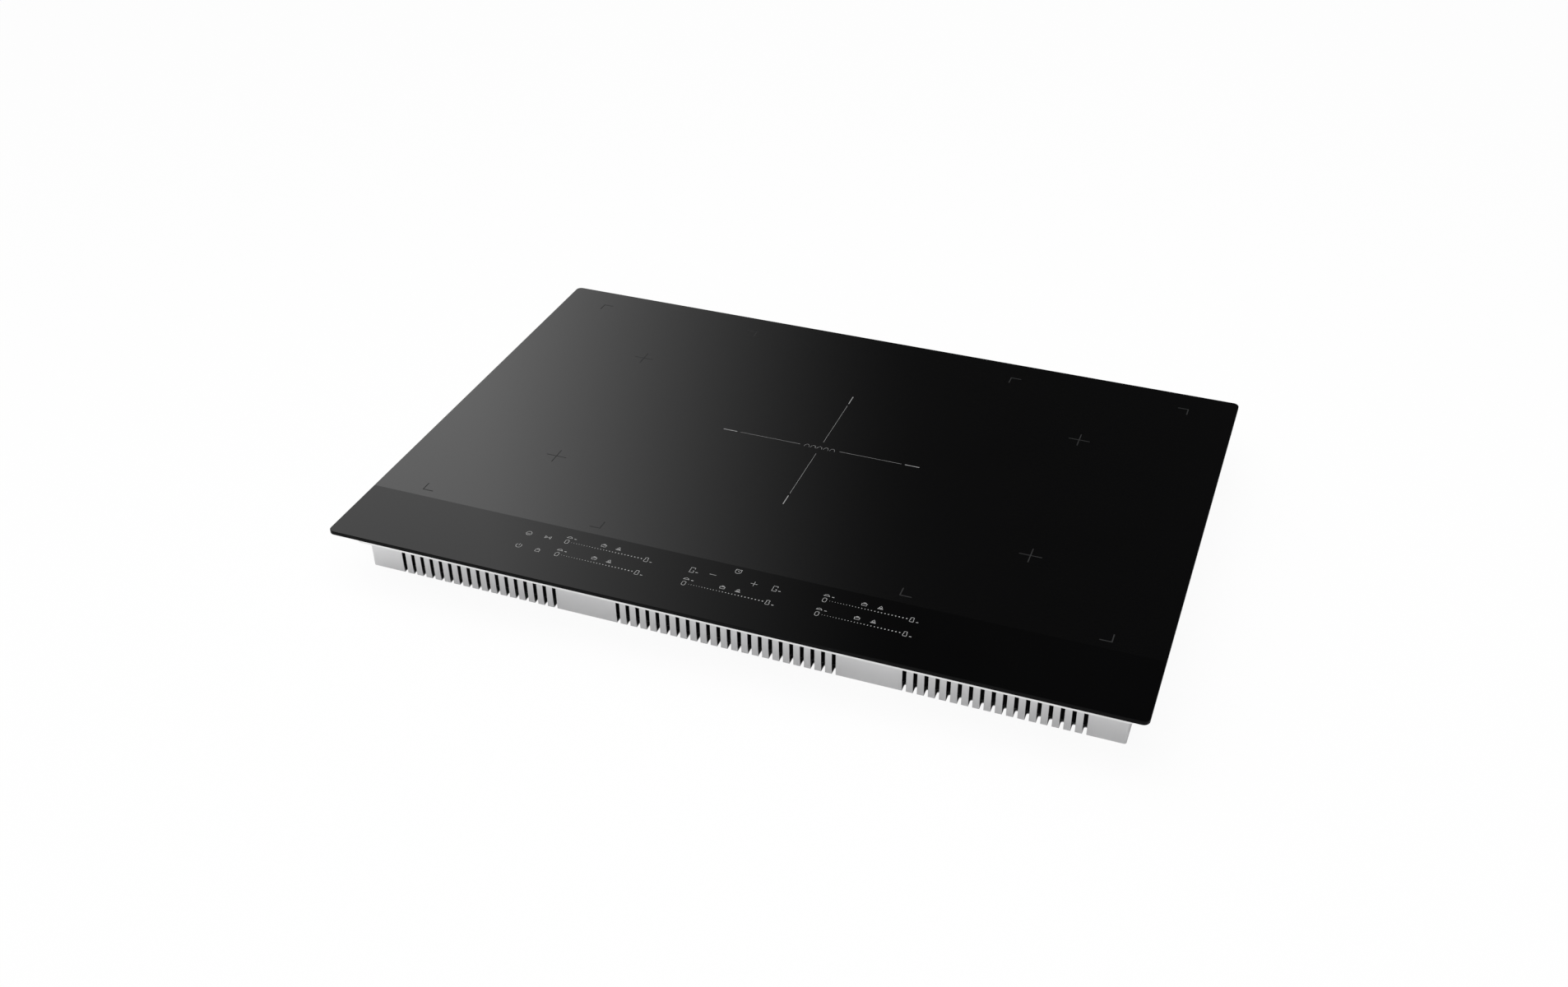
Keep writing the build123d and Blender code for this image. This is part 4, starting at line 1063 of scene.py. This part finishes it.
@dataclass
class Coil:
    """One induction coil: a winding of twisted strands on springs.

    Attributes:
        zone: the coil's place on the glass.
        wire: the diameter of the wire.
        inner: the radius of the winding's first turn.
        pitch: the distance from one turn to the next.
        strands: the strands that show on the outside of the wire.
        lay: the length of wire in which a strand goes once round.
        groove: the radius of the grooves between the strands, as a share of the wire's.
        spring_wire: the diameter of the springs' wire.
        spring_turns: the turns of a spring.
        travel: how far the coil can be pressed down; not used.
    """

    zone: str
    wire: float = 3.2 * MM
    inner: float = 26.0 * MM
    pitch: float = 3.8 * MM
    strands: int = 7
    lay: float = 22.0 * MM
    groove: float = 0.82
    spring_wire: float = 1.2 * MM
    spring_turns: int = 4
    travel: float = 3.0 * MM

    def winding(self, recipe: Recipe) -> None:
        """Wind the coil and put it in its CAD solid's place.

        Args:
            recipe: the tree that makes a winding.
        """
        node = f"{self.zone}_winding"
        low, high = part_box(node)
        x, y, z = node_middle(f"{self.zone}_carrier")
        turns = round(((high.x - low.x - self.wire) / 2 - self.inner) / self.pitch)
        mesh = recipe.run(
            {
                "Turns": float(turns),
                "Inner": self.inner,
                "Outer": self.inner + turns * self.pitch,
                "Strands": self.strands,
                "Wire": self.wire / 2,
                "Groove": self.wire / 2 * self.groove,
                "Twist": 2 * pi / self.lay,
                "Place": (x, y, (low.z + high.z) / 2),
                "Material": SLOT_FINISHES["copper_litz"].material(),
            }
        )
        replace_node(f"{self.zone}_litz", mesh, node, f"{self.zone}_coil")

    def springs(self, recipe: Recipe) -> None:
        """Wind the springs under the coil.

        Args:
            recipe: the tree that makes the springs.
        """
        node = f"{self.zone}_springs"
        boxes = islands(node)
        low, high = boxes[0]
        height = high.z - low.z
        mesh = recipe.run(
            {
                "Turns": float(self.spring_turns),
                "Radius": (high.x - low.x - self.spring_wire) / 2,
                "Rise": height - self.spring_wire,
                "Wire": self.spring_wire / 2,
                "Place": (0.0, 0.0, low.z + self.spring_wire / 2),
                "Material": SLOT_FINISHES["screw_steel"].material(),
            },
            plan_middles(boxes),
        )
        piece = replace_node(f"{self.zone}_coil_springs", mesh, node)
        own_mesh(piece)


def litz_recipe() -> Recipe:
    """Make the tree of a flat spiral of twisted strands.

    Returns:
        The tree, with inputs for the turns, the radii, the wire and its twist.
    """
    recipe = Recipe("litz_winding")
    radii = {"Start Radius": recipe.size("Inner"), "End Radius": recipe.size("Outer")}
    sockets = {"Resolution": LITZ_STEPS, "Rotations": recipe.size("Turns"), "Height": 0.0, **radii}
    path = recipe.add("GeometryNodeCurveSpiral", sockets).outputs[0]
    length = recipe.add("GeometryNodeSplineParameter").outputs["Length"]
    tilt = recipe.math("MULTIPLY", length, recipe.size("Twist"))
    twisted = recipe.add("GeometryNodeSetCurveTilt", {"Curve": path, "Tilt": tilt}).outputs[0]
    radii = {"Inner Radius": recipe.size("Groove"), "Outer Radius": recipe.size("Wire")}
    star = {"Points": recipe.size("Strands", "Int"), **radii}
    section = recipe.add("GeometryNodeCurveStar", star).outputs[0]
    sockets = {"Curve": twisted, "Profile Curve": section, "Fill Caps": True}
    recipe.close(recipe.add("GeometryNodeCurveToMesh", sockets).outputs[0], True)
    return recipe


def spring_recipe() -> Recipe:
    """Make the tree of a coil spring on each given point.

    Returns:
        The tree, with inputs for the turns, the radius, the rise and the wire.
    """
    recipe = Recipe("coil_springs")
    radius = recipe.size("Radius")
    sockets = {"Start Radius": radius, "End Radius": radius, "Height": recipe.size("Rise")}
    sockets |= {"Resolution": SPRING_STEPS, "Rotations": recipe.size("Turns")}
    path = recipe.add("GeometryNodeCurveSpiral", sockets).outputs[0]
    circle = {"Resolution": SPRING_SIDES, "Radius": recipe.size("Wire")}
    section = recipe.add("GeometryNodeCurvePrimitiveCircle", circle).outputs[0]
    sockets = {"Curve": path, "Profile Curve": section, "Fill Caps": True}
    spring = recipe.add("GeometryNodeCurveToMesh", sockets).outputs[0]
    sockets = {"Points": recipe.source.outputs["Geometry"], "Instance": spring}
    recipe.close(recipe.add("GeometryNodeInstanceOnPoints", sockets).outputs[0], True)
    return recipe


class HeadSide(Enum):
    """The end of a screw that its head is on."""

    ABOVE = 1
    BELOW = -1


@dataclass
class ScrewSet:
    """A set of screws with crossed recesses and threads, in place of a CAD node of plain ones.

    Attributes:
        node: the CAD node that the set replaces.
        name: the new piece's name.
        slot: the material slot of the screws.
        side: the end that their heads are on.
        shank: the radius of the thread.
        head: the height of the head.
        thread: the pitch of the thread.
        crown: the radius of the flat top of the head, as a share of the head's.
        shoulder: the radius and the height of the head's shoulder, as shares of the head's.
        root: the radius of the thread's root, as a share of the shank's.
        tip: the radius of the shank's end, as a share of the shank's.
        recess_arm: the length of an arm of the crossed recess, as a share of the head's radius.
        recess_width: the width of that arm, as a share of the head's radius.
        recess_depth: the depth of the recess, as a share of the head's height.
        steps: the number of sides of a screw.
    """

    node: str
    name: str
    slot: str
    side: HeadSide
    shank: float
    head: float
    thread: float = 0.8 * MM
    crown: float = 0.7
    shoulder: Point = (0.93, 0.7)
    root: float = 0.8
    tip: float = 0.7
    recess_arm: float = 0.6
    recess_width: float = 0.2
    recess_depth: float = 0.6
    steps: int = 20

    def profile(self, radius: float, length: float) -> list[Point]:
        """Return the half outline of a screw, from the middle of its head to its tip.

        Args:
            radius: the head's radius.
            length: the length of the shank under the head.

        Returns:
            Radii and heights, with the underside of the head at height 0.
        """
        out, up = self.shoulder
        outline = [(0.0, self.head), (radius * self.crown, self.head), (radius * out, self.head * up)]
        outline += [(radius, 0.0), (self.shank, 0.0)]
        for i in range(int(length / self.thread)):
            outline.append((self.shank * self.root, -(i + 0.5) * self.thread))
            outline.append((self.shank, -(i + 1) * self.thread))
        outline += [(self.shank * self.tip, -length), (0.0, -length)]
        return outline

    def template(self, radius: float, length: float) -> bpy.types.Object:
        """Turn one screw about its axis and cut the cross into its head.

        Args:
            radius: the head's radius.
            length: the length of the shank under the head.

        Returns:
            The screw, with the underside of its head at the origin.
        """
        mesh = dressed_mesh("screw", turned(self.profile(radius, length), self.steps, False))
        screw = link(bpy.data.objects.new("screw", mesh))
        depth = self.head * self.recess_depth
        pen = Pen(self.head - depth, 2 * depth, depth)
        plus(pen, radius * self.recess_arm, radius * self.recess_width)
        recess = pen.mesh("recess", SLOT_FINISHES[self.slot])
        cutter = link(bpy.data.objects.new("recess", recess))
        cut = screw.modifiers.new("recess", "BOOLEAN")
        cut.operation = "DIFFERENCE"
        cut.object = cutter
        depsgraph = bpy.context.evaluated_depsgraph_get()
        screw.data = bpy.data.meshes.new_from_object(screw.evaluated_get(depsgraph))
        screw.modifiers.clear()
        bpy.data.objects.remove(cutter)
        if self.side is HeadSide.BELOW:
            screw.data.transform(Matrix.Rotation(pi, 4, "X"))
        return screw

    def build(self, recipe: Recipe) -> None:
        """Set the screws in their CAD solids' places.

        Args:
            recipe: the tree that makes the set.
        """
        boxes = islands(self.node)
        low, high = boxes[0]
        screw = self.template((high.x - low.x) / 2, high.z - low.z - self.head)
        under = high.z - self.head if self.side is HeadSide.ABOVE else low.z + self.head
        mesh = recipe.run(
            {"Screw": screw, "Place": (0.0, 0.0, under), "Material": SLOT_FINISHES[self.slot].material()},
            plan_middles(boxes),
        )
        bpy.data.objects.remove(screw)
        replace_node(self.name, mesh, self.node)


@dataclass
class Gasket:
    """A soft strip that runs in a ring under the glass, in place of a CAD node.

    Attributes:
        node: the CAD node that the strip replaces.
        name: the new piece's name.
        slot: the strip's material slot.
        widths: the strip's width along the two sides and along the front and back.
        corners: the radius of the ring's outer and inner corners.
        crowns: the radius of the strip's own upper and lower edges.
        crown_steps: the straight runs in such an edge.
        wave: how far its lower face rises and falls.
        swell: the share of that in its long wave.
        swell_length: the distance from one long wave to the next.
        ripple: the share in its short wave.
        ripple_length: the distance from one short wave to the next.
        station: the distance between two sections of the strip.
        joint: the gap where the strip's two ends meet.
    """

    node: str
    name: str
    slot: str
    widths: Point
    corners: Point
    crowns: Point
    wave: float = 0.0
    crown_steps: int = 4
    swell: float = 0.3
    swell_length: float = 37.0 * MM
    ripple: float = 0.2
    ripple_length: float = 18.0 / 1.7 * MM
    station: float = 9.0 * MM
    joint: float = 0.4 * MM

    def paths(self) -> list[tuple[Vector, Vector]]:
        """Lay out the sections of the strip, from the joint at the back all the way round.

        Returns:
            The outer and the inner end of each section in plan.
        """
        low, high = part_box(self.node)
        outer = rounded_box((0, 0), high.x - low.x, high.y - low.y, self.corners[0])
        spans = (high.x - low.x - 2 * self.widths[0], high.y - low.y - 2 * self.widths[1])
        inner = rounded_box((0, 0), *spans, self.corners[1])
        right, left = (
            tuple(Vector((self.joint / 2 * side, y)) for y in (high.y, spans[1] / 2)) for side in (1, -1)
        )
        turn = len(outer) // 4
        round_way = [(Vector(a), Vector(b)) for a, b in zip(outer, inner)]
        corners = [left, *round_way[turn:], *round_way[:turn], right]
        sections = []
        for first, second in zip(corners, corners[1:]):
            steps = max(1, round((second[0] - first[0]).length / self.station))
            sections += [tuple(a.lerp(b, i / steps) for a, b in zip(first, second)) for i in range(steps)]
        return [*sections, corners[-1]]

    def section(self, low: float, high: float) -> list[tuple[float, float, float]]:
        """Return the outline of the strip's section.

        Args:
            low: the height of its lower face.
            high: the height of its upper face.

        Returns:
            For each point the share of the way to the outer edge, a step outwards from there, and the height.
        """
        upper, lower = self.crowns
        outline = []
        for side, inward, crown, level, turn in (
            (1.0, -1, upper, high - upper, 0),
            (0.0, 1, upper, high - upper, 1),
            (0.0, 1, lower, low + lower, 2),
            (1.0, -1, lower, low + lower, 3),
        ):
            angles = [pi / 2 * (turn + i / self.crown_steps) for i in range(self.crown_steps + 1)]
            outline += [(side, inward * crown + crown * cos(a), level + crown * sin(a)) for a in angles]
        return outline

    def rise(self, run: float) -> float:
        """Return how far the lower face has risen.

        Args:
            run: the distance along the strip from its first end.

        Returns:
            The rise.
        """
        swell = self.swell * sin(2 * pi * run / self.swell_length)
        ripple = self.ripple * sin(2 * pi * run / self.ripple_length)
        return self.wave * (1 - self.swell - self.ripple + swell + ripple)

    def build(self) -> None:
        """Lay the strip and put it in its CAD solid's place."""
        low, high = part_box(self.node)
        work = bmesh.new()
        rings = []
        run = 0.0
        last = None
        for outer, inner in self.paths():
            run += (outer - last).length if last is not None else 0.0
            last = outer
            way = (outer - inner).normalized()
            ring = []
            for share, step, level in self.section(low.z + self.rise(run), high.z):
                place = inner.lerp(outer, share) + way * step
                ring.append(work.verts.new((place.x, place.y, level)))
            rings.append(ring)
        loft(work, rings, smooth=True)
        bmesh.ops.recalc_face_normals(work, faces=work.faces)
        mesh = dressed_mesh(self.name, work, SLOT_FINISHES[self.slot])
        replace_node(self.name, mesh, self.node)


@dataclass
class FlatCable:
    """The flat cable of round cores from the touch board down to the right power board.

    Attributes:
        cores: the number of cores side by side.
        thickness: the thickness of a core.
        web: the thickness between two cores, as a share of a core's.
        bend: the radius of the cable's bend.
        core_steps: the straight runs in half a core's outline.
        bend_steps: the straight runs in the bend.
    """

    cores: int = 17
    thickness: float = 1.0 * MM
    web: float = 0.35
    bend: float = 6.0 * MM
    core_steps: int = 5
    bend_steps: int = 10

    def section(self, low: Vector, high: Vector, half: float) -> list[Point]:
        """Return the outline of the cable's section.

        Args:
            low: the lowest corner of the cable's space.
            high: its highest corner.
            half: half the thickness of a core.

        Returns:
            Places along X and heights above the cable's middle.
        """
        pitch = (high.x - low.x) / self.cores
        middles = [low.x + (i + 0.5) * pitch for i in range(self.cores)]
        angles = [pi * (i + 0.5) / self.core_steps for i in range(self.core_steps)]
        rises = [half * (self.web + (1 - self.web) * sin(a)) for a in angles]
        upper = [(x - pitch / 2 * cos(a), rise) for x in middles for a, rise in zip(angles, rises)]
        return upper + [(x, -rise) for x, rise in reversed(upper)]

    def build(self) -> None:
        """Bend the cable and put it in its CAD solid's place."""
        low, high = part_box("ui_cable")
        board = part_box("power_board_right")[1].z
        half = self.thickness / 2
        back, level = low.y + half, board + half
        path = [((back, high.z), (-1.0, 0.0))]
        for i in range(self.bend_steps + 1):
            side = (-cos(pi / 2 * i / self.bend_steps), -sin(pi / 2 * i / self.bend_steps))
            path.append(((back + self.bend * (1 + side[0]), level + self.bend * (1 + side[1])), side))
        path.append(((high.y, level), (0.0, -1.0)))
        outline = self.section(low, high, half)
        work = bmesh.new()
        rings = []
        for (y, z), (side_y, side_z) in path:
            rings.append([work.verts.new((x, y + side_y * rise, z + side_z * rise)) for x, rise in outline])
        loft(work, rings)
        bmesh.ops.recalc_face_normals(work, faces=work.faces)
        mesh = dressed_mesh("flat_cable", work, SLOT_FINISHES["grey_cable"])
        replace_node("flat_cable", mesh, "ui_cable")


@dataclass
class Choke:
    """The mains filter's choke: a ring core with two windings of bare turns.

    Attributes:
        wire: the diameter of the wire.
        turns: the turns in each winding.
        spread: the angle that each winding covers, in degrees.
        turn_steps: the points in a turn.
        clearance: the gap between the wire and the edge of the choke's space.
        squareness: the power that squares the turns, 1 for round ones.
        inner: the radius of the choke's hole.
        edge: the radius of the core's edges.
        steps: the number of sides of the core.
    """

    wire: float = 1.6 * MM
    turns: int = 15
    spread: float = 150.0
    turn_steps: int = 28
    clearance: float = 0.2 * MM
    squareness: float = 0.35
    inner: float = 11.0 * MM
    edge: float = 1.5 * MM
    steps: int = 48

    def core(self, radius: float, half_width: float, half_height: float) -> bmesh.types.BMesh:
        """Turn the ring core.

        Args:
            radius: the radius of its middle line.
            half_width: half its section's width.
            half_height: half its section's height.

        Returns:
            The core, with its middle at the origin.
        """
        outline = rounded_box((radius, 0), 2 * half_width, 2 * half_height, self.edge)
        work = turned(outline, self.steps, True)
        for face in work.faces:
            face.smooth = True
        return work

    def build(self, recipe: Recipe) -> None:
        """Wind the choke and put it in its CAD solid's place.

        Args:
            recipe: the tree that makes one winding.
        """
        low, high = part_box("filter_choke")
        place = node_middle("filter_choke")
        outer = (high.x - low.x) / 2
        radius = (outer + self.inner) / 2
        half_width = (outer - self.inner - self.wire) / 2 - self.clearance
        half_height = (high.z - low.z - self.wire) / 2 - self.clearance
        joined = self.core(radius, half_width - self.wire / 2, half_height - self.wire / 2)
        bmesh.ops.translate(joined, verts=joined.verts, vec=place)
        bare = len(joined.faces)
        for side in (0, 1):
            mesh = recipe.run(
                {
                    "Points": self.turns * self.turn_steps,
                    "Turns": float(self.turns),
                    "Start": pi * side + radians(180 - self.spread) / 2,
                    "Spread": radians(self.spread),
                    "Radius": radius,
                    "Half Width": half_width,
                    "Half Height": half_height,
                    "Squareness": self.squareness,
                    "Wire": self.wire / 2,
                    "Place": place,
                    "Material": SLOT_FINISHES["copper_litz"].material(),
                }
            )
            joined.from_mesh(mesh)
            bpy.data.meshes.remove(mesh)
        joined.faces.ensure_lookup_table()
        for face in joined.faces[bare:]:
            face.material_index = 1
        finishes = (SLOT_FINISHES["choke_core"], SLOT_FINISHES["copper_litz"])
        mesh = dressed_mesh("wound_choke", joined, *finishes)
        replace_node("wound_choke", mesh, "filter_choke")


def choke_recipe() -> Recipe:
    """Make the tree of a wire that winds round part of a ring core.

    Returns:
        The tree, with inputs for the turns, the ring, the core's section and the wire.
    """
    recipe = Recipe("choke_winding")
    line = recipe.add("GeometryNodeCurvePrimitiveLine").outputs[0]
    sockets = {"Curve": line, "Count": recipe.size("Points", "Int")}
    points = recipe.add("GeometryNodeResampleCurve", sockets).outputs[0]
    share = recipe.add("GeometryNodeSplineParameter").outputs["Factor"]
    winds = recipe.math("MULTIPLY", recipe.math("MULTIPLY", share, recipe.size("Turns")), 2 * pi)
    squareness = recipe.size("Squareness")
    reaches = []
    for wave, half in (("COSINE", recipe.size("Half Width")), ("SINE", recipe.size("Half Height"))):
        swing = recipe.math(wave, winds)
        square = recipe.math("POWER", recipe.math("ABSOLUTE", swing), squareness)
        signed = recipe.math("MULTIPLY", recipe.math("SIGN", swing), square)
        reaches.append(recipe.math("MULTIPLY", signed, half))
    radius = recipe.math("ADD", recipe.size("Radius"), reaches[0])
    start = recipe.size("Start")
    turn = recipe.math("ADD", start, recipe.math("MULTIPLY", share, recipe.size("Spread")))
    x = recipe.math("MULTIPLY", radius, recipe.math("COSINE", turn))
    y = recipe.math("MULTIPLY", radius, recipe.math("SINE", turn))
    sockets = {"Geometry": points, "Position": recipe.vector(x, y, reaches[1])}
    path = recipe.add("GeometryNodeSetPosition", sockets).outputs[0]
    circle = {"Resolution": CHOKE_SIDES, "Radius": recipe.size("Wire")}
    section = recipe.add("GeometryNodeCurvePrimitiveCircle", circle).outputs[0]
    sockets = {"Curve": path, "Profile Curve": section, "Fill Caps": True}
    recipe.close(recipe.add("GeometryNodeCurveToMesh", sockets).outputs[0], True)
    return recipe


def screw_recipe() -> Recipe:
    """Make the tree of one screw on each given point.

    Returns:
        The tree, with an input for the screw.
    """
    recipe = Recipe("screw_set")
    screw = recipe.add("GeometryNodeObjectInfo", {"Object": recipe.size("Screw", "Object")})
    sockets = {"Points": recipe.source.outputs["Geometry"], "Instance": screw.outputs["Geometry"]}
    recipe.close(recipe.add("GeometryNodeInstanceOnPoints", sockets).outputs[0], False)
    return recipe


@dataclass
class Studio:
    """The white floor, the soft light and the camera of the reference view.

    Attributes:
        picture: the picture's width and height, in pixels.
        focal: the focal length, in pixels of that picture.
        principal: the pixel that the lens's axis meets.
        azimuth: the camera's turn round the object, in degrees towards +X from the front.
        elevation: its height above the horizon, in degrees.
        distance: its distance from the point that it looks at.
        aim: that point.
        sensor: the width of the camera's sensor, in millimetres.
        floor_side: the length of the floor's sides.
        floor_gap: the gap between the floor and the case.
        floor_grey: the floor's own grey, from 0 to 1.
        floor_white: how much of the floor is plain white to the camera, where the rest takes the shadow.
        mirror_white: how much of it is plain white in a mirror image.
        glow: how bright the large soft light at the back left is.
        glow_rise: the angles to the left of +Y, in degrees, over which it comes up to full strength.
        glow_curve: the power of that rise, 1 for a steady one.
        glow_fall: the angles over which it goes down again.
        dark: how bright the unlit surroundings are.
        fill: how bright the surroundings in front are.
        fill_span: the Y part of a direction at which they are dark and at which they are full.
        zenith: how bright they are overhead.
        zenith_span: the Z part of a direction at which they are dark and at which they are full.
        lamp_place: where the soft lamp hangs.
        lamp_size: its width and height.
        lamp_power: its power, in watts.
    """

    picture: tuple[int, int] = (1906, 1200)
    focal: float = 1988.8
    principal: tuple[float, float] = (984.0, 589.8)
    azimuth: float = 20.009
    elevation: float = 34.419
    distance: float = 1.6369
    aim: tuple[float, float, float] = (0.0, 0.0, 34.0 * MM)
    sensor: float = 36.0
    floor_side: float = 30.0
    floor_gap: float = 0.2 * MM
    floor_grey: float = 0.9
    floor_white: float = 0.93
    mirror_white: float = 0.18
    glow: float = 1.5
    glow_rise: tuple[float, float] = (15.2, 33.6)
    glow_curve: float = 2.0
    glow_fall: tuple[float, float] = (80.0, 125.0)
    dark: float = 0.03
    fill: float = 0.85
    fill_span: tuple[float, float] = (0.0, -0.6)
    zenith: float = 0.9
    zenith_span: tuple[float, float] = (0.75, 0.93)
    lamp_place: tuple[float, float, float] = (0.1, -0.4, 1.9)
    lamp_size: tuple[float, float] = (2.2, 1.6)
    lamp_power: float = 16.0

    def camera(self) -> None:
        """Set up the camera at the reference view."""
        data = bpy.data.cameras.new("view")
        data.sensor_width = self.sensor
        data.lens = self.sensor * self.focal / self.picture[0]
        data.shift_x = (self.picture[0] / 2 - self.principal[0]) / self.picture[0]
        data.shift_y = (self.principal[1] - self.picture[1] / 2) / self.picture[0]
        turn, rise = radians(self.azimuth), radians(self.elevation)
        away = Vector((sin(turn) * cos(rise), -cos(turn) * cos(rise), sin(rise)))
        camera = link(bpy.data.objects.new("view", data))
        camera.location = Vector(self.aim) + away * self.distance
        camera.rotation_euler = (-away).to_track_quat("-Z", "Y").to_euler()
        bpy.context.scene.camera = camera

    def floor(self) -> None:
        """Lay a white floor that still takes a soft shadow."""
        work = bmesh.new()
        bmesh.ops.create_grid(work, x_segments=1, y_segments=1, size=self.floor_side / 2)
        mesh = dressed_mesh("floor", work)
        mesh.transform(Matrix.Translation((0, 0, -self.floor_gap)))
        material = bpy.data.materials.new("white_floor")
        material.use_nodes = True
        graph = Graph(material.node_tree)
        graph.tree.nodes.clear()
        grey = opaque((self.floor_grey,) * 3)
        lit = graph.add("ShaderNodeBsdfDiffuse", {"Color": grey}).outputs[0]
        white = graph.add("ShaderNodeEmission").outputs[0]
        rays = graph.add("ShaderNodeLightPath").outputs
        direct = graph.math("MAXIMUM", rays["Is Camera Ray"], rays["Is Transmission Ray"])
        mirrored = graph.math("MULTIPLY", rays["Is Glossy Ray"], self.mirror_white)
        share = graph.math("MAXIMUM", graph.math("MULTIPLY", direct, self.floor_white), mirrored)
        mixed = graph.add("ShaderNodeMixShader", {0: share, 1: lit, 2: white}).outputs[0]
        graph.add("ShaderNodeOutputMaterial", {"Surface": mixed})
        material.cycles.emission_sampling = "NONE"
        mesh.materials.append(material)
        link(bpy.data.objects.new("floor", mesh))

    def world(self) -> None:
        """Surround the object with soft light from overhead, from the front and from the back left."""
        world = bpy.data.worlds.new("studio")
        world.use_nodes = True
        bpy.context.scene.world = world
        graph = Graph(world.node_tree)
        way = graph.add("ShaderNodeTexCoord").outputs["Generated"]
        parts = graph.add("ShaderNodeSeparateXYZ", {0: way}).outputs
        leftward = graph.math("MULTIPLY", parts["X"], -1.0)
        turn = graph.math("MULTIPLY", graph.math("ARCTAN2", leftward, parts["Y"]), 180 / pi)
        span = {"Value": turn, "From Min": self.glow_rise[0], "From Max": self.glow_rise[1]}
        steady = graph.add("ShaderNodeMapRange", span).outputs["Result"]
        rise = graph.math("POWER", steady, self.glow_curve)
        fall = graph.spread(turn, *self.glow_fall, self.glow, 0.0)
        glow = graph.math("ADD", graph.math("MULTIPLY", rise, fall), self.dark)
        front = graph.spread(parts["Y"], *self.fill_span, 0.0, self.fill)
        above = graph.spread(parts["Z"], *self.zenith_span, 0.0, self.zenith)
        level = graph.math("MAXIMUM", graph.math("ADD", glow, front), above)
        shown = graph.add("ShaderNodeLightPath").outputs["Is Camera Ray"]
        background = graph.tree.nodes["Background"]
        graph.tree.links.new(graph.math("MAXIMUM", level, shown), background.inputs["Color"])

    def lamp(self) -> None:
        """Hang a soft lamp that faces the object."""
        data = bpy.data.lights.new("top_lamp", "AREA")
        data.shape = "RECTANGLE"
        data.size, data.size_y = self.lamp_size
        data.energy = self.lamp_power
        lamp = link(bpy.data.objects.new("top_lamp", data))
        lamp.location = self.lamp_place
        lamp.rotation_euler = (-Vector(self.lamp_place)).to_track_quat("-Z", "Y").to_euler()

    def build(self) -> None:
        """Set up the whole studio."""
        self.camera()
        self.floor()
        self.world()
        self.lamp()
        bpy.context.scene.view_settings.view_transform = "Standard"


def dress_nodes() -> None:
    """Give every CAD node the finish of its material slot."""
    for part in frame["record"]["subparts"]:
        slots = frame["nodes"][part["node"]].data.materials
        slots.clear()
        slots.append(SLOT_FINISHES[part["material_slot"]].material())
    glass = frame["nodes"]["glass_top"].data
    glass.materials.append(GROUND_EDGE.material())
    for face in glass.polygons:
        face.material_index = int(face.normal.z < LEVEL_FACE)


def main() -> None:
    """Build the looks in order."""
    logging.basicConfig(level=logging.INFO, format="%(name)s: %(message)s")
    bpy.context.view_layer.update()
    dress_nodes()
    glass = GlassPrint()
    glass.band()
    glass.zone_marks()
    glass.centre_mark()
    keys = TouchKeys(glass.top + glass.lift + glass.film + glass.lift)
    keys.dots()
    keys.scales()
    keys.keys()
    litz = litz_recipe()
    spring = spring_recipe()
    for zone in ZONES:
        coil = Coil(zone)
        coil.winding(litz)
        coil.springs(spring)
    screws = screw_recipe()
    sets = (
        ScrewSet(
            "case_screws", "case_screw_set", "screw_steel", HeadSide.BELOW,
            shank=1.75 * MM, head=2.2 * MM, thread=1.2 * MM,
        ),
        ScrewSet(
            "board_screws", "board_screw_set", "screw_steel", HeadSide.ABOVE,
            shank=1.4 * MM, head=2.0 * MM,
        ),
        ScrewSet(
            "terminal_screws", "terminal_screw_set", "terminal_brass", HeadSide.ABOVE,
            shank=2.0 * MM, head=1.0 * MM,
        ),
    )
    for screw_set in sets:
        screw_set.build(screws)
    seal = Gasket(
        "worktop_seal", "worktop_foam", "seal_foam",
        widths=(8 * MM, 15.2 * MM), corners=(6 * MM, 4 * MM), crowns=(0.3 * MM, 1.0 * MM), wave=0.25 * MM,
    )
    bead = Gasket(
        "glass_adhesive", "silicone_bead", "black_silicone",
        widths=(6 * MM, 6 * MM), corners=(4 * MM, 4 * MM), crowns=(0.3 * MM, 0.3 * MM),
    )
    seal.build()
    bead.build()
    FlatCable().build()
    Choke().build(choke_recipe())
    Studio().build()


if __name__ == "__main__":
    main()
